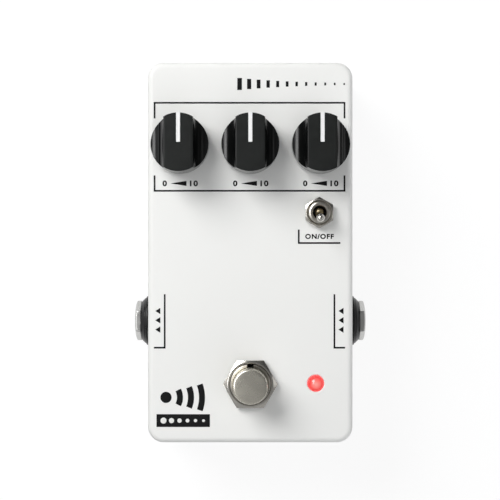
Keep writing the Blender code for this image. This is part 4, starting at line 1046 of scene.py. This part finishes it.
def make_knob(side):
    node, body = f"knob_{side}", f"{side}_knob"
    low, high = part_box(node)
    place = upright(node)
    radius = (high.x - low.x) / 2
    roof = low.z + KNOB_RECESS_DEPTH
    profile = [
        (0, roof), (KNOB_RECESS_RADIUS, roof), (KNOB_RECESS_RADIUS, low.z), (radius, low.z),
        (KNOB_TOP_RADIUS, high.z), (0, high.z),
    ]
    knob = turned(profile)
    for sign in (-1, 1):
        knob = boolean(knob, scoop(sign, radius, low.z + KNOB_RIM_HEIGHT, high.z))
    knob = bevelled(knob, KNOB_SOFT_EDGE, SOFT_STEPS)
    socket = rod(SHAFT_RADIUS + SEAT_GAP / 2, roof - OVERRUN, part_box(f"pot_shaft_{side}")[1].z + SEAT_GAP)
    knob = boolean(knob, socket)
    half = POINTER_WIDTH / 2
    knob = boolean(knob, pointer(half, high.z, INLAY_GAP, OVERRUN))
    piece = add_piece(f"{body}_body", knob, node, "knob_gloss", "knob_matt", body=body, at=place)
    level = high.z - KNOB_BEVEL_DROP * KNOB_MATT_REACH
    refinish(piece, lambda face: face.normal.z > LEVEL_NORMAL and face.center.z > level)
    strip = bevelled(pointer(half, high.z), POINTER_SOFT_EDGE)
    add_piece(f"{body}_pointer", strip, f"knob_pointer_{side}", "pointer", body=body, at=place)


# Bushings, nuts and bores


def threaded_neck(node, radius, pitch, depth, edge, crown):
    """Threaded neck of a mounting plate, from the middle of the plate up."""
    low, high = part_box(node)
    start = low.z + PLATE_THICKNESS[node] / 2
    return threaded_rod(radius, start, FACE_Z, high.z, pitch, depth, edge, crown)


def plate_with_neck(node, neck, bore):
    """Mounting plate under the face with its threaded neck, opened by a bore."""
    low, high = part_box(node)
    place = upright(node)
    bottom = low - place
    corner = high - place
    plate = block(bottom, (corner.x, corner.y, low.z + PLATE_THICKNESS[node]))
    return boolean(boolean(plate, neck, "UNION"), bore)


def make_hex_nut(name, node, flats, inner, edge, sink, first_corner=0.0):
    """Nut on the face with a countersink of a width and a depth."""
    low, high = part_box(node)
    thickness = high.z - low.z
    face = flats / 2 * NUT_FACE_SHARE
    hole = [(face, thickness), (inner + edge, thickness), (inner, thickness - sink), (inner, 0)]
    shape = nut(flats, chamfered(flats, thickness), hole, first_corner)
    add_piece(name, shape, node, "nickel", at=upright(node, low.z))


def drum(radius, low, high, soft=0.0, steps=ROUND_STEPS):
    return turned([(0, low), (radius, low), (radius, high), (0, high)], soft, steps=steps)


def flared_bore(radius, low, high, edge, flare):
    """Cutter for a bore whose mouth is wider."""
    mouth = radius + flare
    profile = [(0, low), (radius, low), (radius, high - edge), (mouth, high), (mouth, high + OVERRUN)]
    return turned([*profile, (0, high + OVERRUN)])


# Toggle switch


def make_toggle():
    node = "toggle_bushing"
    low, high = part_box(node)
    radius = TOGGLE_BUSHING_RADIUS
    crown = [(radius - inset, high.z - drop) for inset, drop in TOGGLE_CROWN]
    neck = threaded_neck(node, radius, TOGGLE_THREAD_PITCH, TOGGLE_THREAD_DEPTH, BUSHING_EDGE, crown)
    bore = flared_bore(TOGGLE_BORE_RADIUS, low.z - OVERRUN, high.z, BUSHING_EDGE, BUSHING_EDGE / 2)
    bushing = plate_with_neck(node, neck, bore)
    add_piece("toggle_threaded_bushing", bushing, node, "thread", at=upright(node))
    seal = drum(TOGGLE_BORE_RADIUS - SLIP_GAP, low.z, low.z + INSULATOR_THICKNESS, CUT_EDGE / 2)
    add_piece("toggle_insulator", seal, None, "black", at=upright(node))
    sink = TOGGLE_NUT_EDGE * TOGGLE_SINK_SLOPE
    sizes = (TOGGLE_NUT_FLATS, radius + SLIP_GAP, TOGGLE_NUT_EDGE, sink, pi / 6)
    make_hex_nut("toggle_hex_nut", "toggle_nut", *sizes)


def make_lever():
    """Ball, waisted shank and domed tip, leaning towards -Y at rest."""
    ball, neck, tip = LEVER_BALL_RADIUS, LEVER_NECK_RADIUS, LEVER_TIP_RADIUS
    steps = SOFT_STEPS * 2
    low_height = -sqrt(ball**2 - LEVER_TAIL_RADIUS**2)
    high_height = sqrt(ball**2 - neck**2)
    profile = [(0, -LEVER_TAIL_LENGTH), (LEVER_TAIL_RADIUS, -LEVER_TAIL_LENGTH)]
    for step in range(steps * 2 + 1):
        height = low_height + (high_height - low_height) * step / (steps * 2)
        profile.append((sqrt(ball**2 - height**2), height))
    shoulder = LEVER_LENGTH - tip
    for step in range(1, steps + 1):
        share = step / steps
        swell = share**LEVER_SWELL
        profile.append((neck + (tip - neck) * swell, high_height + (shoulder - high_height) * share))
    profile += [(tip * x, shoulder + tip * y) for x, y in quarter(steps)[1:-1]]
    profile.append((0, LEVER_LENGTH))
    shape = turned(profile, steps=SMALL_ROUND_STEPS)
    pivot = upright("toggle_nut") + Vector((0, 0, FACE_Z + TOGGLE_PIVOT_HEIGHT))
    pose = {"body": "lever", "at": pivot, "turn": (radians(TOGGLE_TILT), 0, 0)}
    lever = add_piece("toggle_bat", shape, "toggle_lever", "chrome", "lever_brass", **pose)
    refinish(lever, lambda face: face.center.z < high_height * LEVER_BRASS_SHARE)


# Footswitch


def make_footswitch():
    node = "footswitch_bushing"
    low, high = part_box(node)
    radius = FOOTSWITCH_BUSHING_RADIUS
    bore_radius = BUTTON_RADIUS + BUTTON_GAP
    crown = sloped_lip(
        bore_radius, radius - SLIP_GAP, high.z, FOOTSWITCH_CREST_SHARE, FOOTSWITCH_LIP_DROP,
    )
    edge = FOOTSWITCH_LIP_DROP + CUT_EDGE
    neck = threaded_neck(node, radius, FOOTSWITCH_THREAD_PITCH, FOOTSWITCH_THREAD_DEPTH, edge, crown)
    stem_radius = STEM_RADIUS + SEAT_GAP
    plate_top = low.z + PLATE_THICKNESS[node]
    bore = turned(
        [
            (0, low.z - OVERRUN), (stem_radius, low.z - OVERRUN), (stem_radius, plate_top),
            (bore_radius, plate_top), (bore_radius, high.z + OVERRUN), (0, high.z + OVERRUN),
        ],
    )
    half = FOOTSWITCH_KEY_WIDTH / 2
    key_low = (-half, bore_radius - OVERRUN, high.z - FOOTSWITCH_KEY_DEPTH)
    key = block(key_low, (half, radius + OVERRUN, high.z + OVERRUN))
    bushing = boolean(plate_with_neck(node, neck, bore), key)
    tube = add_piece("footswitch_threaded_bushing", bushing, node, "thread", "shadow", at=upright(node))

    def in_keyway(face):
        x, y, z = face.center
        inside = abs(x) < half * KEY_SLACK and y > bore_radius * KEY_REACH_SHARE
        return inside and high.z - FOOTSWITCH_KEY_DEPTH * KEY_SLACK < z < high.z - CUT_EDGE

    # The keyway's faces take the flat black finish: painted shade in the slot
    refinish(tube, in_keyway)
    sizes = (FOOTSWITCH_NUT_FLATS, radius + FOOTSWITCH_NUT_GAP, BUSHING_EDGE / 2, BUSHING_EDGE / 2)
    make_hex_nut("footswitch_hex_nut", "footswitch_nut", *sizes)


def make_button():
    node = "footswitch_button"
    low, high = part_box(node)
    cap_bottom = FACE_Z - BUTTON_SINK
    profile = [
        (0, low.z, 0), (STEM_RADIUS, low.z), (STEM_RADIUS, cap_bottom), (BUTTON_RADIUS, cap_bottom),
        (BUTTON_RADIUS, high.z - BUTTON_CROWN, BUTTON_EDGE),
    ]
    for step in range(SIDE_STEPS + 1):
        out = BUTTON_RADIUS * BUTTON_CROWN_SHARE * (1 - step / SIDE_STEPS)
        profile.append((out, high.z - BUTTON_CROWN * (out / BUTTON_RADIUS) ** 2, 0))
    button = turned(profile, CUT_EDGE)
    add_piece("footswitch_cap", button, node, "turned_nickel", body="plunger", at=upright(node))


def make_spring():
    """Return spring round the plunger, with a mesh of its own."""
    low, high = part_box("footswitch_spring")
    wire = SPRING_WIRE_RADIUS
    reach = (high.x - low.x) / 2 - wire
    steps = SPRING_TURNS * SMALL_ROUND_STEPS
    bottom, top = low.z + wire, high.z - wire
    rings = []
    for step in range(steps + 1):
        share = step / steps
        turn = 2 * pi * SPRING_TURNS * share
        rise = share - sin(2 * pi * share) / (2 * pi) * SPRING_END_SHARE
        middle = Vector((reach * cos(turn), reach * sin(turn), bottom + (top - bottom) * rise))
        out = Vector((cos(turn), sin(turn), 0))
        ring = []
        for angle in full_turn(SPRING_WIRE_STEPS):
            ring.append(middle + out * wire * cos(angle) + Vector((0, 0, wire * sin(angle))))
        rings.append(ring)
    place = upright("footswitch_spring")
    spring = add_piece(
        "return_spring", add_skin(bmesh.new(), rings), "footswitch_spring", "steel", at=place,
    )
    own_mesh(spring)


# Lamp


def make_lamp():
    low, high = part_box("led")
    flange = (high.x - low.x) / 2
    ceiling = FACE_Z - WALL - SEAT_GAP
    bottom = ceiling - LED_FLANGE_THICKNESS
    dome_centre = high.z - LED_RADIUS
    profile = [(0, bottom), (flange, bottom), (flange, ceiling), (LED_RADIUS, ceiling)]
    for x, y in quarter(SMALL_ROUND_STEPS // 3)[:-1]:
        profile.append((LED_RADIUS * x, dome_centre + LED_RADIUS * y))
    profile.append((0, high.z))
    lamp = turned(profile, steps=SMALL_ROUND_STEPS)
    half = LEG_WIDTH / 2
    for sign in (-1, 1):
        x = sign * LEG_PITCH / 2
        leg = block((x - half, -half, low.z), (x + half, half, ceiling - LED_FLANGE_THICKNESS / 2))
        lamp = boolean(lamp, leg, "UNION")
    piece = add_piece("lamp", lamp, "led", "lens", at=upright("led"))
    piece.visible_diffuse = False
    piece.visible_shadow = False


# Jacks and power socket


def sideways(node, sign):
    """Place and turn of a jack piece whose own Z points out of the box, from its inner end."""
    low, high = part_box(node)
    middle = centre(node)
    start = low.x if sign > 0 else high.x
    return {"at": Vector((start, middle.y, middle.z)), "turn": (0, sign * pi / 2, 0)}


def make_jack_washer(name, sign):
    """Conical black washer with a fine groove round it."""
    node = f"{name}_jack_washer"
    low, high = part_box(node)
    thickness = high.x - low.x - JACK_WASHER_THIN
    radius = (high.z - low.z) / 2
    inner = JACK_BUSHING_RADIUS + JACK_BUSHING_GAP
    slope = (thickness - JACK_WASHER_RIM) / (radius - JACK_WASHER_FRONT_RADIUS)
    ring, groove = radius * JACK_RING_SHARE, CUT_EDGE
    ring_height = JACK_WASHER_RIM + (radius - ring) * slope
    profile = [
        (inner, 0), (radius, 0, JACK_WASHER_BACK_EDGE), (radius, JACK_WASHER_RIM, JACK_WASHER_EDGE),
        (ring + groove, ring_height - groove * slope, JACK_RING_EDGE),
        (ring, ring_height - groove * JACK_RING_DEPTH_SHARE, JACK_RING_EDGE),
        (ring - groove, ring_height + groove * slope, JACK_RING_EDGE),
        (JACK_WASHER_FRONT_RADIUS, thickness, JACK_WASHER_EDGE), (inner, thickness),
    ]
    washer = turned(profile, closed=True)
    add_piece(f"{name}_dress_washer", washer, node, "turned_black", **sideways(node, sign))


def make_jack_nut(name, sign):
    """Domed nut whose lip reaches in over the end of the bushing."""
    node = f"{name}_jack_nut"
    low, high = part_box(node)
    thickness = high.x - low.x - JACK_NUT_THIN + JACK_NUT_REACH
    inner = JACK_BUSHING_RADIUS + JACK_BUSHING_GAP
    under = thickness - JACK_NUT_LIP_THICKNESS

    def dome(out):
        return thickness - max(0, out**2 - JACK_NUT_FACE_RADIUS**2) / (2 * JACK_NUT_CROWN_RADIUS)

    hole = [
        (JACK_NUT_FACE_RADIUS, thickness), (JACK_NUT_LIP_RADIUS, thickness), (JACK_NUT_LIP_RADIUS, under),
        (inner, under), (inner, 0),
    ]
    pose = sideways(node, sign)
    pose["at"].x -= sign * JACK_NUT_REACH
    shape = nut(JACK_NUT_FLATS, dome, hole, pi / 6, JACK_NUT_SOFT_EDGE)
    add_piece(f"{name}_dress_nut", shape, node, "jack_nickel", **pose)


def make_jack_body(name, sign):
    """Moulded body with its bushing, bored for the plug and slotted for the contact."""
    node = f"{name}_jack_body"
    low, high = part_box(node)
    length = high.x - low.x
    half_y, half_z = (high.y - low.y) / 2, (high.z - low.z) / 2
    shell_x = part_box("enclosure_shell")[1].x
    front = shell_x - WALL - SEAT_GAP * 2 - min(abs(low.x), abs(high.x))
    solid = bevelled(block((-half_z, -half_y, 0), (half_z, half_y, front)), JACK_BODY_EDGE)
    solid = boolean(solid, drum(JACK_BUSHING_RADIUS, JACK_BUSHING_START, length, CUT_EDGE / 2), "UNION")
    solid = boolean(solid, flared_bore(JACK_BORE_RADIUS, JACK_REAR_WALL, length, SEAT_GAP, SEAT_GAP))
    pose = sideways(node, sign)
    leaf_low, leaf_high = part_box(f"{name}_jack_contact")
    start, end = sorted(abs(x - pose["at"].x) for x in (leaf_low.x, leaf_high.x))
    half_leaf = (leaf_high.y - leaf_low.y) / 2 + CONTACT_SLOT_MARGIN
    near, far = sorted((sign * JACK_BORE_RADIUS / 2, sign * (half_z + OVERRUN)))
    slot = block(
        (near, -half_leaf, start - CONTACT_SLOT_MARGIN), (far, half_leaf, end + CONTACT_SLOT_MARGIN),
    )
    add_piece(f"{name}_socket", boolean(solid, slot), node, "black", **pose)


def make_power_socket():
    low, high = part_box("power_socket_body")
    pin_low, pin_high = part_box("power_socket_pin")
    middle = centre("power_socket_pin")
    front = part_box("enclosure_shell")[1].y - WALL_LEAN - WALL - SEAT_GAP
    body = bevelled(block((low.x, low.y, low.z), (high.x, front, high.z)), DC_BODY_EDGE)
    nose = drum(DC_NOSE_RADIUS, low.y + DC_NOSE_START, high.y, DC_NOSE_EDGE)
    bore = flared_bore(DC_BORE_RADIUS, high.y - DC_BORE_DEPTH, high.y, SEAT_GAP, SEAT_GAP)
    for shape, operation in ((nose, "UNION"), (bore, "DIFFERENCE")):
        shape = moved(shape, (0, 0, middle.z), Matrix.Rotation(-pi / 2, 3, "X"))
        body = boolean(body, shape, operation)
    add_piece("power_inlet", body, "power_socket_body", "black")
    radius = (pin_high.x - pin_low.x) / 2
    length = pin_high.y - pin_low.y
    profile = [(0, 0), (radius, 0), (radius, length, radius * DC_PIN_TIP_SHARE), (0, length, 0)]
    pin = turned(profile, CUT_EDGE, steps=SMALL_ROUND_STEPS)
    pose = {"at": (middle.x, pin_low.y, middle.z), "turn": (-pi / 2, 0, 0)}
    add_piece("power_inlet_pin", pin, "power_socket_pin", "nickel", **pose)


# Print on the face


def printed(name, outlines, look, lift=PRINT_LIFT, extra=()):
    low = FACE_Z + lift
    shapes = [prism(outline, low, low + PRINT_THICKNESS) for outline in outlines]
    add_piece(name, merged(*shapes, *extra), None, look)


def stroke(pixel_points, width=LINE_PIXELS):
    """Outline of a line with square corners through pixels of the photograph."""
    half = pixels(width) / 2
    points = [Vector(on_face(*point)) for point in pixel_points]
    left, right = [], []
    for index, point in enumerate(points):
        ahead = (points[min(index + 1, len(points) - 1)] - point).normalized()
        behind = (point - points[max(index - 1, 0)]).normalized()
        if index == 0:
            behind = ahead
        if index == len(points) - 1:
            ahead = behind
        across = Vector((-ahead.y, ahead.x))
        side = (Vector((-behind.y, behind.x)) + across).normalized()
        side = side * half / max(SHARPEST_MITRE, side.dot(across))
        left.append(tuple(point + side))
        right.append(tuple(point - side))
    return left + right[::-1]


def box_outline(left, top, right, bottom):
    return [on_face(*point) for point in ((left, top), (right, top), (right, bottom), (left, bottom))]


def disc(x_pixel, y_pixel, radius):
    x, y = on_face(x_pixel, y_pixel)
    out = pixels(radius)
    return [(x + out * cos(angle), y + out * sin(angle)) for angle in full_turn(SMALL_ROUND_STEPS)]


def arc(x_pixel, y_pixel, radius, width, half_angle):
    """Outline of a thick arc that opens to the left."""
    x, y = on_face(x_pixel, y_pixel)
    steps = SMALL_ROUND_STEPS
    angles = [radians(half_angle) * (2 * step / steps - 1) for step in range(steps + 1)]
    inner, outer = pixels(radius - width / 2), pixels(radius + width / 2)
    outline = [(x + outer * cos(angle), y + outer * sin(angle)) for angle in angles]
    return outline + [(x + inner * cos(angle), y + inner * sin(angle)) for angle in angles[::-1]]


def lettering(words, left, top, right, bottom):
    """Solid letters that fill a box of pixels."""
    curve = bpy.data.curves.new("words", "FONT")
    curve.body = words
    curve.extrude = LETTER_THICKNESS
    curve.offset = LETTER_WEIGHT
    curve.space_character = LETTER_SPACE
    item = bpy.data.objects.new("words", curve)
    bpy.context.scene.collection.objects.link(item)
    bpy.context.view_layer.update()
    made = bpy.data.meshes.new_from_object(item.evaluated_get(bpy.context.evaluated_depsgraph_get()))
    bpy.data.objects.remove(item)
    bpy.data.curves.remove(curve)
    shape = bmesh.new()
    shape.from_mesh(made)
    bpy.data.meshes.remove(made)
    bmesh.ops.remove_doubles(shape, verts=shape.verts, dist=LETTER_WELD)
    low = Vector([min(v.co[axis] for v in shape.verts) for axis in range(3)])
    high = Vector([max(v.co[axis] for v in shape.verts) for axis in range(3)])
    x_low, y_high = on_face(left, top)
    x_high, y_low = on_face(right, bottom)
    scale = ((x_high - x_low) / (high.x - low.x), (y_high - y_low) / (high.y - low.y))
    for vert in shape.verts:
        x = x_low + (vert.co.x - low.x) * scale[0]
        y = y_low + (vert.co.y - low.y) * scale[1]
        share = (vert.co.z - low.z) / (high.z - low.z)
        vert.co = (x, y, FACE_Z + PRINT_LIFT + PRINT_THICKNESS * share)
    return shape


def make_print():
    printed("print_frames", [stroke(points) for points in FRAME_LINES], "ink")
    first, last = BAR_ENDS
    bars = []
    for index in range(BAR_COUNT):
        x = first + (last - first) * index / (BAR_COUNT - 1)
        half_x, half_y = (half * shrink**index for half, shrink in zip(BAR_HALF_SIZE, BAR_SHRINK))
        bars.append(box_outline(x - half_x, BAR_LEVEL - half_y, x + half_x, BAR_LEVEL + half_y))
    printed("print_decay_bars", bars, "ink")
    scales, numbers = [], []
    top, bottom = DIAL_ROWS
    for x in DIAL_MIDDLES:
        scales.append([on_face(x + out, level) for out, level in DIAL_WEDGE])
        for words, (left, right) in DIAL_WORDS.items():
            numbers.append(lettering(words, x + left, top, x + right, bottom))
    printed("print_dials", scales, "ink", extra=numbers)
    printed("print_switch_words", [], "ink", extra=[lettering("ON/OFF", *SWITCH_WORDS_BOX)])
    places = [(x, y) for x in ARROW_COLUMNS for y in ARROW_ROWS]
    arrows = [[on_face(x + right, y + down) for right, down in ARROW_POINTS] for x, y in places]
    printed("print_arrows", arrows, "ink")
    mark = [disc(*MARK_DISC)]
    for radius in MARK_RADII:
        mark.append(arc(*MARK_CENTRE, radius, MARK_WIDTH, MARK_HALF_ANGLE + MARK_SPREAD / radius))
    printed("print_echo_mark", mark, "ink")
    printed("print_badge", [box_outline(*BADGE_BOX)], "ink")
    x, y = BADGE_DOT_START
    dots = []
    for index in range(BADGE_DOTS):
        dots.append(disc(x + BADGE_DOT_PITCH * index, y, BADGE_DOT_RADIUS * BADGE_DOT_SHRINK**index))
    printed("print_badge_dots", dots, "white_ink", lift=PRINT_LIFT * 2 + PRINT_THICKNESS)


# Solids that keep their own shape


def finish_nodes():
    for look, starts in NODE_FINISHES.items():
        for name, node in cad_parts.items():
            if name.startswith(starts):
                node.data.materials.clear()
                node.data.materials.append(MATERIALS[look])


# Floor and light


def make_floor():
    """Floor that looks nearly white, keeps the shadow and fades out far from the set."""
    shape = bmesh.new()
    bmesh.ops.create_circle(shape, cap_ends=True, segments=FLOOR_STEPS, radius=FLOOR_RADIUS)
    floor = new_object("floor", shape)
    floor.location.z = -FLOOR_DROP
    material = bpy.data.materials.new("pale_floor")
    graph = Graph(material)
    plain = graph.node("ShaderNodeBsdfDiffuse")
    seen_diffuse = graph.node("ShaderNodeBsdfDiffuse", Color=FLOOR_SEEN_GREY).outputs[0]
    glow = graph.node("ShaderNodeEmission", Color=(1, 1, 1, 1), Strength=FLOOR_SEEN_GLOW).outputs[0]
    seen = graph.fed(graph.node("ShaderNodeAddShader"), seen_diffuse, glow)
    pick = graph.mixed(graph.seen(), plain.outputs[0], seen)
    place = graph.place()
    # The floor's bounce colour is painted shade: dark on the left and back, pale on the right and front
    graph.join(graph.sided(place, FLOOR_PALE_SIDE, FLOOR_PAINTED_SHADE), plain.inputs["Color"])
    fade = graph.spread(graph.length(place), *FLOOR_FADE, interpolation_type="SMOOTHSTEP")
    graph.show(graph.mixed(fade, pick, graph.node("ShaderNodeBsdfTransparent").outputs[0]))
    floor.data.materials.append(material)


def make_world():
    """Soft light, strongest from overhead, on a white ground."""
    world = bpy.data.worlds.new("studio")
    bpy.context.scene.world = world
    graph = Graph(world)
    place = graph.place("Generated")
    total = graph.total(graph.sided(place, *WORLD_OVERHEAD), graph.sided(place, *WORLD_FRONT))
    light = graph.node("ShaderNodeBackground", Color=WORLD_COLOUR)
    graph.join(total, light.inputs["Strength"])
    white = graph.node("ShaderNodeBackground", Color=(1, 1, 1, 1), Strength=1.0)
    pick = graph.mixed(graph.seen(), light.outputs[0], white.outputs[0])
    graph.show(pick, "ShaderNodeOutputWorld")


def only_in_gloss(item, material):
    """Stage piece that shows in what is glossy and nowhere else."""
    item.visible_camera = False
    item.visible_diffuse = False
    item.visible_shadow = False
    item.visible_transmission = False
    item.data.materials.append(material)


def make_tent():
    """Grey cloth over the set, darkest on the right."""
    rings = []
    for step in range(SIDE_STEPS * 2 + 1):
        angle = radians(TENT_REACH) * (1 - step / (SIDE_STEPS * 2))
        rings.append(circle(TENT_RADIUS * sin(angle), TENT_RADIUS * cos(angle), SMALL_ROUND_STEPS))
    tent = new_object("tent", add_skin(bmesh.new(), rings, ends=False))
    tent.data.shade_smooth()
    material = bpy.data.materials.new("grey_tent")
    graph = Graph(material)
    glow = graph.node("ShaderNodeEmission")
    graph.join(graph.sided(graph.place(), *TENT_DARK_SIDE), glow.inputs["Strength"])
    graph.show(glow.outputs[0])
    only_in_gloss(tent, material)


def make_flag():
    """Low black wall round the set, out of sight, that draws the edges of white and bright pieces."""
    rings = [circle(FLAG_RADIUS, height, SMALL_ROUND_STEPS) for height in (0, FLAG_HEIGHT)]
    flag = new_object("flag", add_skin(bmesh.new(), rings, ends=False))
    black = Finish("black_flag", linear(50, 50, 52), 1.0, Specular_IOR_Level=0.0)
    only_in_gloss(flag, black.material)


def make_light(name, place, shape, size, power):
    light = bpy.data.lights.new(name, "AREA")
    light.shape = shape
    light.size = size
    light.energy = power
    lamp = bpy.data.objects.new(name, light)
    lamp.location = place
    lamp.rotation_euler = (LIGHT_TARGET - place).to_track_quat("-Z", "Y").to_euler()
    lamp.visible_camera = False
    bpy.context.scene.collection.objects.link(lamp)
    return lamp


def make_lights():
    """A soft key, and round panels that only show in what is glossy."""
    make_light("key", KEY_PLACE, "SQUARE", KEY_SIZE, KEY_POWER)
    for name, (towards, half_angle, radiance) in GLOSS_LIGHTS.items():
        place = LIGHT_TARGET + Vector(towards) * GLOSS_DISTANCE
        size = 2 * GLOSS_DISTANCE * tan(radians(half_angle))
        panel = make_light(name, place, "DISK", size, radiance * pi * pi * size**2 / 4)
        panel.visible_diffuse = False
        panel.visible_transmission = False


def main():
    make_camera()
    make_shell()
    make_base()
    make_screws()
    make_feet()
    for side in SIDES:
        make_knob(side)
    make_toggle()
    make_lever()
    make_footswitch()
    make_button()
    make_spring()
    make_lamp()
    for name, sign in {"input": 1, "output": -1}.items():
        make_jack_washer(name, sign)
        make_jack_nut(name, sign)
        make_jack_body(name, sign)
    make_power_socket()
    make_print()
    finish_nodes()
    make_floor()
    make_tent()
    make_flag()
    make_world()
    make_lights()
    bpy.context.scene.view_settings.view_transform = "Standard"


main()
